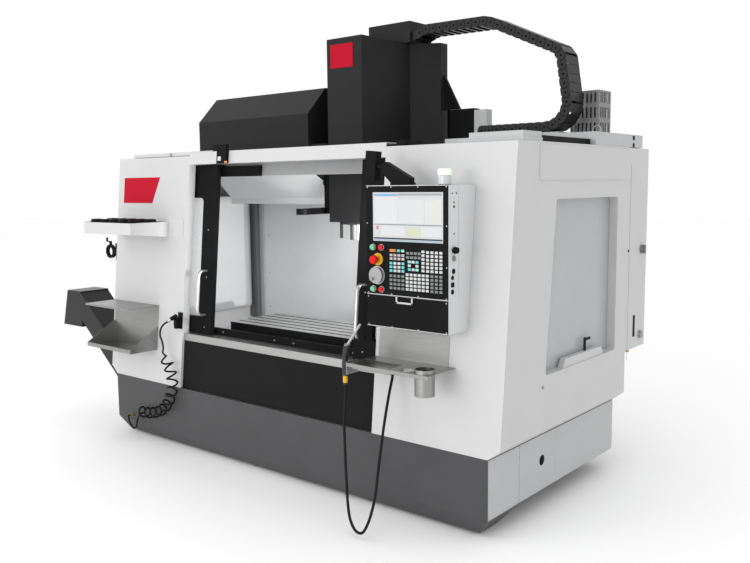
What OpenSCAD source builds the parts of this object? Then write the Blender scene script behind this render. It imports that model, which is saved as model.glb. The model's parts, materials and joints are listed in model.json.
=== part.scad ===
// Vertical machining centre with sliding doors, swivelling control pendant and side tool changer.
// Millimetres, +X to the operator's right, +Y to the rear, +Z up, floor at z = 0.

/* [Enclosure] */
// Overall width over the side panels
enclosure_w = 3140; // [2960:10:3300]
// Height of the panels' top edge over the floor
panel_top = 1885; // [1860:1:1910]
// Lean of the front panels, in degrees from upright
lean_deg = 5.54; // [5:0.1:6]
// Width of the door opening
opening_w = 1600; // [1560:10:1640]
// Thickness of the sheet metal
sheet = 3; // [2:0.5:4]
// Depth of the front panels' folded edges
fold = 50; // [40:1:55]
// Height of the side panels' lower edge over the floor
skirt_z = 457; // [440:1:480]
// Rear end of the side panels behind the base's front
side_len = 1408; // [1400:1:1440]
// Height of the black apron's top under the sill
apron_top = 713; // [700:1:730]
// Height of the sill rail
sill_h = 44; // [36:1:60]
// Depth of the sill rail's top
sill_d = 110; // [104:1:125]
// Height of the lower door track over the sill
track_h = 43; // [30:1:48]
// Height of the header's front face
header_h = 76; // [60:1:90]
// Height of the header's underside over the floor
header_z = 1830; // [1820:1:1840]
// Height of the header's inner downstand
header_drop = 78; // [60:1:90]
// Length of the black upper guide bar
guide_bar = 530; // [400:10:600]

/* [Base] */
// Width of the base
base_w = 3010; // [2900:10:3100]
// Height of the base's rim over the floor
base_top = 407; // [395:1:420]
// Height of the fold over the toe
base_break = 107; // [95:1:120]
// Height of the toe's underside over the floor
base_bottom = 18; // [15:1:24]
// Depth of the base behind its front face
base_len = 1397; // [1390:1:1400]
// Wall of the base pan
base_wall = 4; // [3:0.5:6]
// Set-back of the toe's underside
toe_in = 45; // [30:1:60]
// Flat length of the toe's underside
toe_len = 150; // [120:5:200]
// Slope at the toe's rear
toe_back = 110; // [80:5:140]
// End bevel of the toe
toe_end = 70; // [40:5:110]
// Radius of a levelling pad
foot_r = 45; // [35:1:60]
// Thickness of a levelling pad
foot_h = 10; // [8:1:12]
// Radius of a levelling screw
foot_screw_r = 14; // [10:1:18]
// Pitch of the front feet
foot_pitch = 911; // [850:1:960]
// Centre of the row of front feet
foot_mid_x = -188; // [-220:1:-150]
// Length of the screwed front cover on the base's sides
service_cover = 290; // [240:5:320]
// Radius of the cable hole in the base's side plates
side_hole_r = 28; // [20:1:40]

/* [Doors] */
// Width of a door
door_w = 880; // [860:1:890]
// Thickness of a door frame
door_t = 30; // [24:1:34]
// Distance of the doors behind the front panels' face
door_set = 60; // [58:1:62]
// Distance of an open door's leading edge from the centre
door_open_x = 595; // [585:1:610]
// Width of the leading stile
stile_w = 125; // [110:1:140]
// Width of the other frame members
rail_w = 62; // [50:1:70]
// Height of the frame's lower member
door_foot = 105; // [90:1:120]
// Height of the frame's upper member
door_head = 207; // [190:1:220]
// Corner radius of the door windows
door_corner = 26; // [15:1:40]
// Thickness of the door panes
pane_t = 6; // [4:1:8]
// Length of a door handle
handle_len = 280; // [240:5:320]
// Radius of a door handle's tube
handle_r = 11; // [9:0.5:13]
// Reach of a door handle from the door
handle_reach = 62; // [50:1:70]
// Bend radius of a door handle
handle_bend = 34; // [26:1:40]

/* [Side windows] */
// Height of the window's lower edge over the floor
win_z0 = 738; // [720:1:760]
// Height of the window's upper edge over the floor
win_z1 = 1610; // [1580:1:1630]
// Front lower corner behind the base's front
win_front = 430; // [410:1:460]
// Set-back of the front upper corner from the lower one
win_rake = 94; // [70:1:110]
// Rear edge behind the base's front
win_rear = 1260; // [1230:1:1290]
// Depth of the window's recess
win_recess = 45; // [30:1:60]
// Frame thickness round the recess
win_frame = 12; // [8:1:16]
// Corner radius of the side windows
win_corner = 20; // [12:1:30]
// Thickness of the side panes
side_pane = 8; // [5:1:10]
// Height of the folded rest in the window
rest_h = 46; // [30:1:60]
// Height of the raised band on the side panels
band_h = 172; // [140:1:200]

/* [Table] */
// Length of the table
table_w = 1321; // [1250:1:1400]
// Depth of the table
table_d = 457; // [440:1:470]
// Thickness of the table
table_t = 90; // [80:1:110]
// Height of the table's top over the floor
table_z = 796; // [780:1:815]
// Table's offset from the machine's centre at rest
table_x = -67; // [-90:1:-40]
// Distance of the table's front edge behind the base's front
table_y = 374; // [365:1:385]
// Number of T-slots
tslot_n = 5; // [3:1:5]
// Pitch of the T-slots
tslot_pitch = 80; // [70:1:85]
// Width of a T-slot's mouth
tslot_w = 16; // [12:1:18]
// Depth of a T-slot's mouth
tslot_neck = 20; // [16:1:24]
// Width of a T-slot's foot
tslot_foot_w = 28; // [24:1:32]
// Height of a T-slot's foot
tslot_foot_h = 12; // [9:1:15]
// Width of the saddle
saddle_w = 800; // [700:10:900]

/* [Frame castings] */
// Width of the bed
bed_w = 1120; // [1000:10:1140]
// Front of the bed behind the base's front
bed_y = 330; // [320:1:345]
// Height of the bed's top over the floor
bed_top = 520; // [505:1:526]
// Width of a guide rail
rail_b = 45; // [35:1:55]
// Height of a guide rail
rail_h = 28; // [24:1:36]
// Spread of the saddle's rails
bed_rails = 500; // [440:10:560]
// Width of the column
column_w = 660; // [600:10:680]
// Front of the column behind the base's front
column_y = 1415; // [1410:1:1425]
// Rear of the column behind the base's front
column_back = 1690; // [1660:1:1700]
// Height of the column's front top over the floor
column_top = 2190; // [2150:5:2230]
// Height of the column's rear top over the floor
column_rear_top = 1990; // [1950:5:2040]
// Spread of the head's rails
head_rails = 190; // [170:2:200]
// Position of the inner rear wall behind the base's front
rear_wall = 1345; // [1340:1:1348]

/* [Head] */
// Width of the head's cover at its front
head_w = 287; // [270:1:300]
// Front of the head's cover behind the base's front
head_y = 730; // [715:1:745]
// Height of the cover's underside over the floor
head_z = 1455; // [1435:1:1475]
// Height of the cover's top over the floor
head_top = 2600; // [2560:5:2640]
// Length of the cover's straight sides
head_side = 475; // [450:5:490]
// Half width of the cover's rear flange
flange_x = 327; // [300:1:335]
// Length of the cover's flare
flare_d = 105; // [90:1:115]
// Length of the rear flange
flange_d = 74; // [60:1:76]
// Height of the flare's lower edge over the floor
flare_z = 1935; // [1930:1:1960]
// Spindle's position behind the base's front
spindle_y = 837; // [825:1:850]
// Height of the spindle's nose over the floor
nose_z = 1340; // [1325:1:1355]
// Radius of the spindle's nose
nose_r = 48; // [42:1:54]
// Mouth radius of the spindle's taper
taper_r = 22; // [20:1:25]
// Depth of the spindle's taper
taper_d = 66; // [55:1:80]
// Radius of the cartridge's flange
cart_r = 95; // [85:1:105]
// Radius of the spindle motor
motor_r = 108; // [95:1:115]
// Width of the head's carriage
carriage_w = 264; // [250:1:270]
// Height of the carriage's underside over the floor
carriage_z = 1640; // [1620:1:1660]
// Height of the carriage
carriage_h = 510; // [460:5:540]
// Length of the sliding cover under the carriage
way_cover_len = 663; // [650:1:680]
// Width of the sliding cover
way_cover_w = 320; // [310:1:330]
// Height of the chain's terminal box
chain_box_h = 133; // [110:1:150]
// Right side of the chain's terminal box
chain_box_x = 199; // [180:1:215]
// Front of the chain's terminal box behind the base's front
chain_box_y = 1146; // [1120:1:1170]

/* [Cable chain] */
// Pitch of the chain's links
link_pitch = 53; // [52:0.5:54]
// Height of a link
link_h = 60; // [56:1:64]
// Width of the chain
chain_w = 156; // [140:1:160]
// Thickness of a link's side plates
link_plate = 8; // [6:0.5:10]
// Position of the chain behind the base's front
chain_y = 1243; // [1236:1:1250]

/* [Tool changer] */
// Left end of the hood from the centre
hood_x0 = -1449; // [-1460:1:-1420]
// Right end of the hood from the centre
hood_x1 = -335; // [-350:1:-335]
// Front of the hood behind the base's front
hood_y = 745; // [735:1:760]
// Rear of the hood behind the base's front
hood_back = 1404; // [1390:1:1408]
// Height of the hood's front face's top over the floor
hood_brow = 2158; // [2130:1:2190]
// Height of the hood's top over the floor
hood_top = 2335; // [2310:1:2360]
// Run of the hood's slope
hood_run = 173; // [150:1:200]
// Left end of the inner shroud
shroud_x0 = -1310; // [-1330:1:-1290]
// Right end of the inner shroud's closed box
shroud_x1 = -350; // [-380:1:-346]
// Height of the shroud's brow over the floor
shroud_brow = 1772; // [1750:1:1790]
// Height of the shroud's lip over the floor
shroud_lip = 1606; // [1590:1:1620]
// Height of the shroud's underside over the floor
shroud_z = 1563; // [1556:1:1575]
// Run of the shroud's slope
shroud_run = 169; // [150:1:180]
// Radius of the tool carousel
carousel_r = 318; // [290:1:325]
// Thickness of the carousel's disc
carousel_t = 60; // [50:1:80]
// Number of tool pockets
pocket_n = 24; // [20:1:30]
// Radius of a tool pocket
pocket_r = 32; // [26:1:34]
// Pivot of the tool arm from the centre
arm_x = -245; // [-250:1:-240]
// Reach of the tool arm
arm_reach = 245; // [235:1:250]
// Height of the tool arm's underside over the floor
arm_z = 1505; // [1495:1:1512]
// Thickness of the tool arm
arm_t = 40; // [34:1:44]
// Radius of the tool arm's shaft
arm_shaft = 30; // [26:1:34]

/* [Pendant] */
// Left side of the pendant from the centre
pendant_x0 = 875; // [865:1:885]
// Width of the pendant
pendant_w = 482; // [460:1:500]
// Height of the pendant's underside over the floor
pendant_z = 998; // [990:1:1010]
// Height of the pendant
pendant_h = 689; // [670:1:710]
// Distance of the pendant's face before the base's front
pendant_y = 106; // [96:1:116]
// Depth of the console box
console_d = 78; // [70:1:90]
// Height of the storage box under the console
storage_h = 158; // [140:1:170]
// Depth of the storage pocket
storage_d = 140; // [120:1:150]
// Wall of the pendant
pendant_wall = 3; // [2:0.5:4]
// Thickness of the console's face plate
face_t = 4; // [3:0.5:6]
// Width of the screen
screen_w = 414; // [380:1:430]
// Height of the screen
screen_h = 234; // [215:1:240]
// Radius of a push button
button_r = 13; // [10:0.5:15]
// Radius of the emergency stop's head
estop_r = 22; // [18:1:26]
// Reach of the emergency stop
estop_h = 44; // [36:1:50]
// Radius of the jog wheel
jog_r = 40; // [34:1:44]
// Width of a key
key_w = 16; // [13:0.5:17]
// Height of a key's face
key_tall = 11.5; // [9:0.5:12.5]
// Radius of the beacon
beacon_r = 30; // [24:1:36]
// Height of the beacon
beacon_h = 72; // [60:1:84]

/* [Accessories] */
// Left end of the tool tray from the centre
tray_x0 = -1507; // [-1520:1:-1490]
// Width of the tool tray
tray_w = 522; // [500:1:540]
// Reach of the tool tray before the base's front
tray_reach = 196; // [185:1:200]
// Height of the tool tray's top over the floor
tray_z = 1466; // [1450:1:1480]
// Height of the tool tray's front
tray_h = 74; // [60:1:90]
// Radius of a tool tray hole
tray_hole = 27; // [20:1:30]
// Left end of the parts bin from the centre
bin_x0 = -1558; // [-1565:1:-1540]
// Width of the parts bin
bin_w = 500; // [470:1:520]
// Reach of the parts bin before the base's front
bin_reach = 186; // [175:1:194]
// Height of the bin's shelf over the floor
bin_top = 916; // [900:1:930]
// Height of the bin's floor over the floor
bin_z = 622; // [610:1:640]
// Height of the bin's front lip
bin_lip = 28; // [20:1:36]
// Reach of the toolholder vise from the side panel
vise_reach = 110; // [100:1:125]
// Outer radius of the vise's ring
vise_r = 48; // [42:1:54]
// Bore radius of the vise's ring
vise_bore = 32; // [28:1:36]
// Left end of the accessory shelf from the centre
shelf_x0 = 800; // [795:1:815]
// Right end of the accessory shelf from the centre
shelf_x1 = 1300; // [1285:1:1320]
// Height of the accessory shelf over the floor
shelf_z = 812; // [800:1:825]
// Reach of the accessory shelf before the base's front
shelf_reach = 190; // [180:1:195]
// Radius of the cup
cup_r = 48; // [42:1:54]
// Height of the cup
cup_h = 128; // [110:1:150]
// Sheet of the stainless accessories
steel_t = 2; // [1.5:0.5:3]

/* [Rear cabinet] */
// Left side of the electrical cabinet from the centre
cabinet_x0 = 620; // [560:10:700]
// Height of the cabinet's underside over the floor
cabinet_z = 703; // [690:1:715]
// Rear of the cabinet's door behind the base's front
cabinet_back = 1701; // [1695:1:1720]
// Thickness of the cabinet's door
cabinet_door_t = 15; // [12:1:20]
// Radius of the main switch
switch_r = 26; // [20:1:30]
// Reach of the main switch
switch_h = 28; // [22:1:34]
// Width of the brake resistor box
resistor_w = 180; // [160:1:200]
// Height of the brake resistor box
resistor_h = 265; // [240:1:290]

/* [Chip conveyor] */
// Slope of the discharge tube, in degrees
tube_deg = 40; // [36:1:42]
// Front of the discharge tube behind the base's front
tube_y = 38; // [34:1:46]
// Width of the discharge tube
tube_w = 230; // [210:1:236]
// Upright height of the tube's section
tube_h = 200; // [180:1:210]
// Left end of the discharge head from the centre
discharge_x = -2239; // [-2260:1:-2210]
// Radius of the auger
auger_r = 85; // [75:1:90]
// Radius of the auger's shaft
auger_shaft = 22; // [18:1:26]
// Turns of the auger
auger_turns = 12; // [8:1:16]

/* [Hidden] */
$fn = 48;

// Clearances
run_gap = 0.3;
bore_gap = 0.08;
eps = 1;

// Half widths and levels
half_w = enclosure_w / 2;
half_b = base_w / 2;
half_o = opening_w / 2;
sill_top = apron_top + sill_h;
roof_z = panel_top + sheet;
header_top = header_z + header_h;

// Front face of the leaning panels at a height
function ys(z) = (z - base_top) * tan(lean_deg);

// Origin under the middle of the part
right_x = half_w + switch_h;
mid_x = (discharge_x + right_x) / 2;
mid_y = (cabinet_back - tray_reach) / 2;

// Colours
white_c = [0.86, 0.87, 0.88];
grey_c = [0.66, 0.67, 0.68];
dark_c = [0.28, 0.28, 0.29];
black_c = [0.10, 0.10, 0.11];
steel_c = [0.62, 0.62, 0.61];
silver_c = [0.80, 0.80, 0.80];
clear_c = [0.80, 0.86, 0.88, 0.4];

module placed() translate([-mid_x, -mid_y, 0]) children();

// Box between two corners
module bx(x0, x1, y0, y1, z0, z1)
    translate([x0, y0, z0]) cube([x1 - x0, y1 - y0, z1 - z0]);

// Outline in Y and Z, drawn out along X
module prism_x(x0, x1, pts)
    translate([x0, 0, 0]) rotate([90, 0, 90]) linear_extrude(x1 - x0) polygon(pts);

// Outline in X and Z, drawn out along Y
module prism_y(y0, y1, pts)
    translate([0, y1, 0]) rotate([90, 0, 0]) linear_extrude(y1 - y0) polygon(pts);

// Outline in X and Y, drawn out along Z
module prism_z(z0, z1, pts)
    translate([0, 0, z0]) linear_extrude(z1 - z0) polygon(pts);

// Plate that leans with the front panels, from depth d0 to d1 behind their face
module slab(x0, x1, d0, d1, z0, z1)
    prism_x(x0, x1, [
        [ys(z0) + d0, z0], [ys(z0) + d1, z0], [ys(z1) + d1, z1], [ys(z1) + d0, z1]
    ]);

// Corner of an outline rounded to radius r, as points along an arc
function unit(v) = v / norm(v);
function corner_arc(a, b, c, r, n) =
    let (u = unit(a - b), w = unit(c - b), half = acos(u * w) / 2,
         m = unit(u + w), o = b + m * r / sin(half),
         p = b + u * r / tan(half), q = b + w * r / tan(half),
         a0 = atan2(p[1] - o[1], p[0] - o[0]), a1 = atan2(q[1] - o[1], q[0] - o[0]),
         span = a1 - a0 > 180 ? a1 - a0 - 360 : a1 - a0 < -180 ? a1 - a0 + 360 : a1 - a0)
    [for (i = [0:n]) o + r * [cos(a0 + span * i / n), sin(a0 + span * i / n)]];
function rounded(pts, r, n = 6) =
    [for (i = [0:len(pts) - 1])
        each corner_arc(pts[(i + len(pts) - 1) % len(pts)], pts[i], pts[(i + 1) % len(pts)], r, n)];

function rect(x0, x1, y0, y1) = [[x0, y0], [x1, y0], [x1, y1], [x0, y1]];

module mirrored(side) {
    if (side > 0) children();
    else mirror([1, 0, 0]) children();
}

module rod(p, q, r) {
    d = q - p;
    translate(p)
        rotate([0, acos(d[2] / norm(d)), atan2(d[1], d[0])])
            cylinder(r = r, h = norm(d));
}

// Base

window_rim = 40;

module base_pan() color(dark_c) placed() {
    window_y0 = service_cover + cover_margin + window_rim;
    window_y1 = base_len - cover_margin - window_rim;
    rear_gap = bed_w / 2 + run_gap;
    tube_z = auger_z;
    difference() {
        intersection() {
            prism_x(-half_b, half_b, [
                [0, base_top], [0, base_break], [toe_in, base_bottom],
                [toe_in + toe_len, base_bottom], [toe_in + toe_len + toe_back, base_break],
                [base_len, base_break], [base_len, base_top]
            ]);
            prism_y(-eps, base_len + eps, [
                [-half_b, base_top], [half_b, base_top], [half_b, base_break],
                [half_b - toe_end, base_bottom], [-half_b + toe_end, base_bottom],
                [-half_b, base_break]
            ]);
        }
        bx(-half_b + base_wall, half_b - base_wall, base_wall, base_len - base_wall,
            base_break + base_wall, base_top + eps);
        bx(-rear_gap, rear_gap, base_len - base_wall - eps, base_len + eps,
            base_break + base_wall, base_top + eps);
        translate([-half_b - eps, auger_y, tube_z]) rotate([0, 90, 0])
            cylinder(r = auger_r, h = base_wall + 2 * eps);
        for (x = [-half_b - eps, half_b - base_wall - eps])
            bx(x, x + base_wall + 2 * eps, window_y0, window_y1,
                base_break + window_rim, base_top - window_rim);
    }
}

side_hole_y = 524;
side_hole_z = 268;
plate_reach = 150;
plate_seam = 0.6;
cover_margin = 3;

module base_side_plates() color(grey_c) placed() {
    plate_y = side_hole_y + plate_reach;
    for (side = [-1, 1]) mirrored(side) difference() {
        union() {
            bx(half_b, half_b + sheet, cover_margin, service_cover,
                base_break + cover_margin, base_top - cover_margin);
            bx(half_b, half_b + sheet, service_cover + cover_margin, plate_y - plate_seam,
                base_break + cover_margin, base_top - cover_margin);
            bx(half_b, half_b + sheet, plate_y, base_len - cover_margin,
                base_break + cover_margin, base_top - cover_margin);
        }
        translate([half_b - eps, side_hole_y, side_hole_z]) rotate([0, 90, 0])
            cylinder(r = side_hole_r, h = sheet + 2 * eps);
        if (side < 0) translate([half_b - eps, auger_y, auger_z]) rotate([0, 90, 0])
            cylinder(r = auger_r, h = sheet + 2 * eps);
    }
}

rear_foot_x = 430;
rear_foot_y = 1600;

module foot(x, y, top) translate([x, y, 0]) {
    cylinder(r = foot_r, h = foot_h);
    cylinder(r = foot_screw_r, h = top);
}

module leveling_feet() color(black_c) placed() {
    for (i = [-1:1]) foot(foot_mid_x + i * foot_pitch, toe_in + toe_len / 2, base_bottom);
    for (side = [-1, 1]) foot(side * rear_foot_x, rear_foot_y, bed_z);
}

bed_z = base_break + base_wall;
rail_top = bed_top + rail_h;
column_shoulder = 130;
head_rail_z0 = 1100;

module machine_frame() color(grey_c) placed() {
    bx(-bed_w / 2, bed_w / 2, bed_y, base_len - base_wall, bed_z, bed_top);
    bx(-bed_w / 2, bed_w / 2, base_len - base_wall, column_back, bed_z, bed_top);
    for (side = [-1, 1]) {
        translate([side * bed_rails / 2 - rail_b / 2, bed_y, bed_top])
            cube([rail_b, rear_wall - sheet - bed_y, rail_h]);
        translate([side * head_rails / 2 - rail_b / 2, column_y - rail_h, head_rail_z0])
            cube([rail_b, rail_h, column_top - head_rail_z0]);
    }
    prism_x(-column_w / 2, column_w / 2, [
        [column_y, bed_top], [column_back, bed_top], [column_back, column_rear_top],
        [column_y + column_shoulder, column_top], [column_y, column_top]
    ]);
}

// Front of the enclosure

apron_d = 18;
sill_front = 15;

module front_apron() color(black_c) placed()
    slab(-half_o, half_o, apron_d, apron_d + sheet, base_top, sill_top - sheet);

module sill_rail() color(silver_c) placed() {
    y0 = ys(apron_top) + sill_front;
    y1 = ys(sill_top) + sill_front;
    prism_x(-half_o, half_o, [
        [y0, apron_top], [y0 + sheet, apron_top],
        [ys(sill_top - sheet) + sill_front + sheet, sill_top - sheet],
        [y1 + sill_d, sill_top - sheet], [y1 + sill_d, sill_top], [y1, sill_top]
    ]);
}

track_d = door_set + door_t + pane_t + 8;
track_t = 15;
header_d = 140;
bar_drop = 14;
bar_h = 65;

module door_track() color(black_c) placed() {
    slab(-half_o, half_o, track_d, track_d + track_t, sill_top, sill_top + track_h);
    slab(-half_o, -half_o + guide_bar, track_d, header_d - sheet,
        header_z - bar_drop - bar_h, header_z - bar_drop);
}

switch_x0 = -545;
switch_w = 120;
bracket_h = 38;
bracket_d = 26;

module header_beam() color(white_c) placed() {
    y0 = ys(header_z);
    y1 = ys(header_top);
    yd = ys(header_z - header_drop);
    prism_x(-half_o, half_o, [
        [y0, header_z], [y0 + header_d - sheet, header_z],
        [yd + header_d - sheet, header_z - header_drop], [yd + header_d, header_z - header_drop],
        [y0 + header_d, header_z + sheet], [y0 + sheet, header_z + sheet],
        [y1 + sheet, header_top - sheet], [y1 + header_d, header_top - sheet],
        [y1 + header_d, header_top], [y1, header_top]
    ]);
    slab(switch_x0, switch_x0 + switch_w, -bracket_d, sheet / 2, header_z, header_top + bracket_h);
}

module front_panel(side) color(white_c) placed() mirrored(side) difference() {
    union() {
        slab(half_o, half_w, 0, sheet, base_top, panel_top);
        slab(half_o, half_o + sheet, sheet, fold, base_top, panel_top);
        slab(half_o + sheet, half_w - sheet, sheet, fold, panel_top - sheet, panel_top);
    }
    prism_y(-eps, fold, [
        [half_b, base_top], [half_w + eps, skirt_z + (skirt_z - base_top) / (half_w - half_b)],
        [half_w + eps, base_top - eps], [half_b, base_top - eps]
    ]);
}

module left_front_panel() front_panel(-1);
module right_front_panel() front_panel(1);

// Sides of the enclosure

win_pts = [
    [win_front, win_z0], [win_rear, win_z0], [win_rear, win_z1], [win_front + win_rake, win_z1]
];
win_out = [
    [win_front - win_frame, win_z0 - win_frame], [win_rear + win_frame, win_z0 - win_frame],
    [win_rear + win_frame, win_z1 + win_frame],
    [win_front + win_rake - win_frame, win_z1 + win_frame]
];
band_y = 346;
band_top = 9;
rest_run = 27;
rest_y0 = 631;
rest_y1 = 1118;
tube_room = 6;

module side_panel(side) color(white_c) placed() mirrored(side) {
    skirt_y = ys(skirt_z) + sheet;
    x_in = half_w - sheet - win_recess;
    difference() {
        prism_x(half_w - sheet, half_w, [
            [skirt_y, skirt_z], [side_len, skirt_z], [side_len, panel_top],
            [ys(panel_top) + sheet, panel_top]
        ]);
        prism_x(half_w - sheet - eps, half_w + eps, rounded(win_pts, win_corner));
        if (side < 0) bx(half_w - sheet - eps, half_w + eps, tube_y - tube_room,
            tube_y + tube_w + tube_room, skirt_z - eps, notch_z);
    }
    difference() {
        prism_x(x_in, half_w - sheet, rounded(win_out, win_corner + win_frame));
        prism_x(x_in - eps, half_w, rounded(win_pts, win_corner));
    }
    prism_x(x_in + win_frame, half_w - 2 * sheet, [
        [rest_y0, win_z0], [rest_y1, win_z0], [rest_y1 - rest_run, win_z0 + rest_h],
        [rest_y0 + rest_run, win_z0 + rest_h]
    ]);
    bx(half_w, half_w + sheet, band_y, side_len, panel_top - band_top - band_h, panel_top - band_top);
    difference() {
        prism_y(skirt_y, side_len, [
            [half_w, skirt_z], [half_w - sheet, skirt_z + sheet], [half_b - base_wall, base_top + sheet],
            [half_b - base_wall, base_top], [half_b, base_top]
        ]);
        if (side < 0) bx(half_b - base_wall - eps, half_w + eps, tube_y - tube_room,
            tube_y + tube_w + tube_room, base_top - eps, notch_z);
    }
}

module left_side_panel() side_panel(-1);
module right_side_panel() side_panel(1);

module side_windows() color(clear_c) placed()
    for (side = [-1, 1]) mirrored(side) {
        x_in = half_w - sheet - win_recess;
        prism_x(x_in - side_pane, x_in, rounded(win_out, win_corner + win_frame));
    }

// Inside of the enclosure

liner_x = half_w - sheet;
floor_back = 600;
floor_front = 548;
trough_back = 283;
trough_front = 68;
trough_z = 300;
trough_x = 1450;
slot_z = carriage_z - 450;
wide_slot_z = flare_z - 455;
slot_x = carriage_w / 2 + 8;
wide_slot_x = flange_x + 16;
auger_y = (trough_front + trough_back) / 2;
auger_z = trough_z + sheet + auger_r + 12;
floor_gap = 12;

module inner_liner() color(white_c) placed() {
    difference() {
        bx(-liner_x, liner_x, rear_wall, rear_wall + sheet, floor_back - sheet, panel_top);
        bx(-slot_x, slot_x, rear_wall - eps, rear_wall + sheet + eps, slot_z, panel_top + eps);
        bx(-wide_slot_x, wide_slot_x, rear_wall - eps, rear_wall + sheet + eps,
            wide_slot_z, panel_top + eps);
    }
    for (side = [-1, 1]) mirrored(side)
        prism_x(bed_w / 2 + floor_gap, liner_x, [
            [trough_back, floor_front - sheet], [rear_wall, floor_back - sheet],
            [rear_wall, floor_back], [trough_back, floor_front]
        ]);
    prism_x(-trough_x, trough_x, [
        [trough_back - sheet, floor_front], [trough_back - sheet, trough_z + sheet],
        [trough_front + sheet, trough_z + sheet], [trough_front + sheet, floor_front],
        [trough_front, floor_front], [trough_front, trough_z], [trough_back, trough_z],
        [trough_back, floor_front]
    ]);
    for (x = [-trough_x, trough_x - sheet]) difference() {
        bx(x, x + sheet, trough_front + sheet, trough_back - sheet, trough_z + sheet, floor_front);
        translate([x - eps, auger_y, auger_z]) rotate([0, 90, 0])
            cylinder(r = auger_shaft + bore_gap, h = sheet + 2 * eps);
    }
}

module chip_auger() color(steel_c) placed() translate([-trough_x - sheet, auger_y, auger_z])
    rotate([0, 90, 0]) {
        len_in = 2 * trough_x - 4 * sheet;
        blade = 8;
        cylinder(r = auger_shaft, h = 2 * trough_x + 2 * sheet);
        translate([0, 0, 3 * sheet])
            linear_extrude(len_in, twist = 360 * auger_turns, slices = 8 * auger_turns, segments = 4)
                translate([auger_shaft - eps, -blade / 2])
                    square([auger_r - auger_shaft, blade]);
    }

// Roof

roof_front = 290;
head_hole_x = flange_x + 18;
head_hole_y = 700;
hood_rim = 12;

module roof_panels() color(white_c) placed() {
    y0 = ys(panel_top) + fold;
    difference() {
        union() {
            bx(-half_w, half_w, roof_front, side_len, panel_top, roof_z);
            for (side = [-1, 1]) mirrored(side)
                bx(half_o, half_w, y0, roof_front, panel_top, roof_z);
        }
        bx(-head_hole_x, head_hole_x, head_hole_y, side_len + eps, panel_top - eps, roof_z + eps);
        bx(hood_x0 + hood_rim, -head_hole_x + eps, hood_y + hood_rim, hood_back - hood_rim,
            panel_top - eps, roof_z + eps);
    }
}

lid_x = 1203;
lid_end = 378;
lid_h = 17;
lid2_in = 66;
lid2_h = 28;
duct_end = 960;
duct_x = 1000;
duct_h = 34;
tower_x = 1250;
tower_h = 72;
tower_end = 1600;
box_y0 = 1336;
box_y1 = 1400;
box_gap = 4;
box_x = [380, 566, 663];
box_h = [283, 270];

module roof_boxes() color(grey_c) placed() {
    y0 = ys(panel_top) + fold;
    bx(lid_x, half_w - sheet, y0, lid_end, roof_z, roof_z + lid_h);
    bx(lid_x + lid2_in, half_w - 2 * sheet, y0 + sheet, lid_end - 2 * sheet,
        roof_z + lid_h, roof_z + lid_h + lid2_h);
    bx(duct_x, half_w - 2 * lid_h, lid_end + box_gap, duct_end, roof_z, roof_z + duct_h);
    bx(tower_x, half_w - sheet, duct_end + box_gap, tower_end, roof_z, roof_z + tower_h);
    for (i = [0, 1]) bx(box_x[i], box_x[i + 1] - box_gap, box_y0, box_y1, roof_z, roof_z + box_h[i]);
    bx(chain_end[0] - link_h, tower_x - box_gap, chain_y - chain_w / 2, chain_y + chain_w / 2,
        roof_z, chain_end[1] - link_h / 2 - run_gap);
}

// Tool changer

cam_x1 = -190;
cam_y0 = 770;
cam_y1 = 890;
cam_z0 = 1762;
cam_z1 = 1960;
cam_wall = 10;

function hood_profile(t) = [
    [hood_y + t, roof_z - t], [hood_y + t, hood_brow - t / 2],
    [hood_y + hood_run + t / 2, hood_top - t], [hood_back - t, hood_top - t],
    [hood_back - t, roof_z - t]
];

module toolchanger_hood() color(black_c) placed() {
    difference() {
        prism_x(hood_x0, hood_x1, hood_profile(0));
        prism_x(hood_x0 + sheet, hood_x1 - sheet, hood_profile(sheet));
    }
    difference() {
        bx(hood_x1 - sheet, cam_x1, cam_y0, cam_y1, cam_z0, cam_z1);
        translate([arm_x, spindle_y, cam_z0 - eps])
            cylinder(r = arm_shaft + bore_gap, h = cam_z1 - cam_z0 - cam_wall);
    }
    translate([carousel_x, hood_back - sheet - hub_len, carousel_z]) rotate([-90, 0, 0])
        cylinder(r = hub_r, h = hub_len);
}

carousel_x = -735;
carousel_z = 1950;
carousel_y = 1040;
hub_r = 60;
hub_len = 190;
spigot_r = 25;
wing_top_x = -300;
wing_low_x = -168;

shroud_y1 = hood_y + shroud_run;
function shroud_profile(t) = [
    [hood_y + t, panel_top + (t > 0 ? eps : 0)], [hood_y + t, shroud_brow + t / 2],
    [shroud_y1 + t, shroud_lip + t / 2], [shroud_y1 + t, shroud_z + t],
    [rear_wall - t, shroud_z + t], [rear_wall - t, panel_top + (t > 0 ? eps : 0)]
];

module toolchanger_shroud() color(white_c) placed() {
    slope = atan2(shroud_brow - shroud_lip, shroud_run);
    slope_len = norm([shroud_run, shroud_brow - shroud_lip]);
    difference() {
        prism_x(shroud_x0, shroud_x1, shroud_profile(0));
        prism_x(shroud_x0 + sheet, shroud_x1 - sheet, shroud_profile(sheet));
    }
    difference() {
        translate([0, hood_y, shroud_brow]) rotate([-slope, 0, 0])
            linear_extrude(sheet) polygon([
                [shroud_x1 - sheet, 0], [wing_top_x, 0], [wing_low_x, slope_len],
                [shroud_x1 - sheet, slope_len]
            ]);
        translate([arm_x, spindle_y, arm_z]) cylinder(r = arm_shaft + 3 * sheet, h = cam_z0 - arm_z);
    }
}

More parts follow.
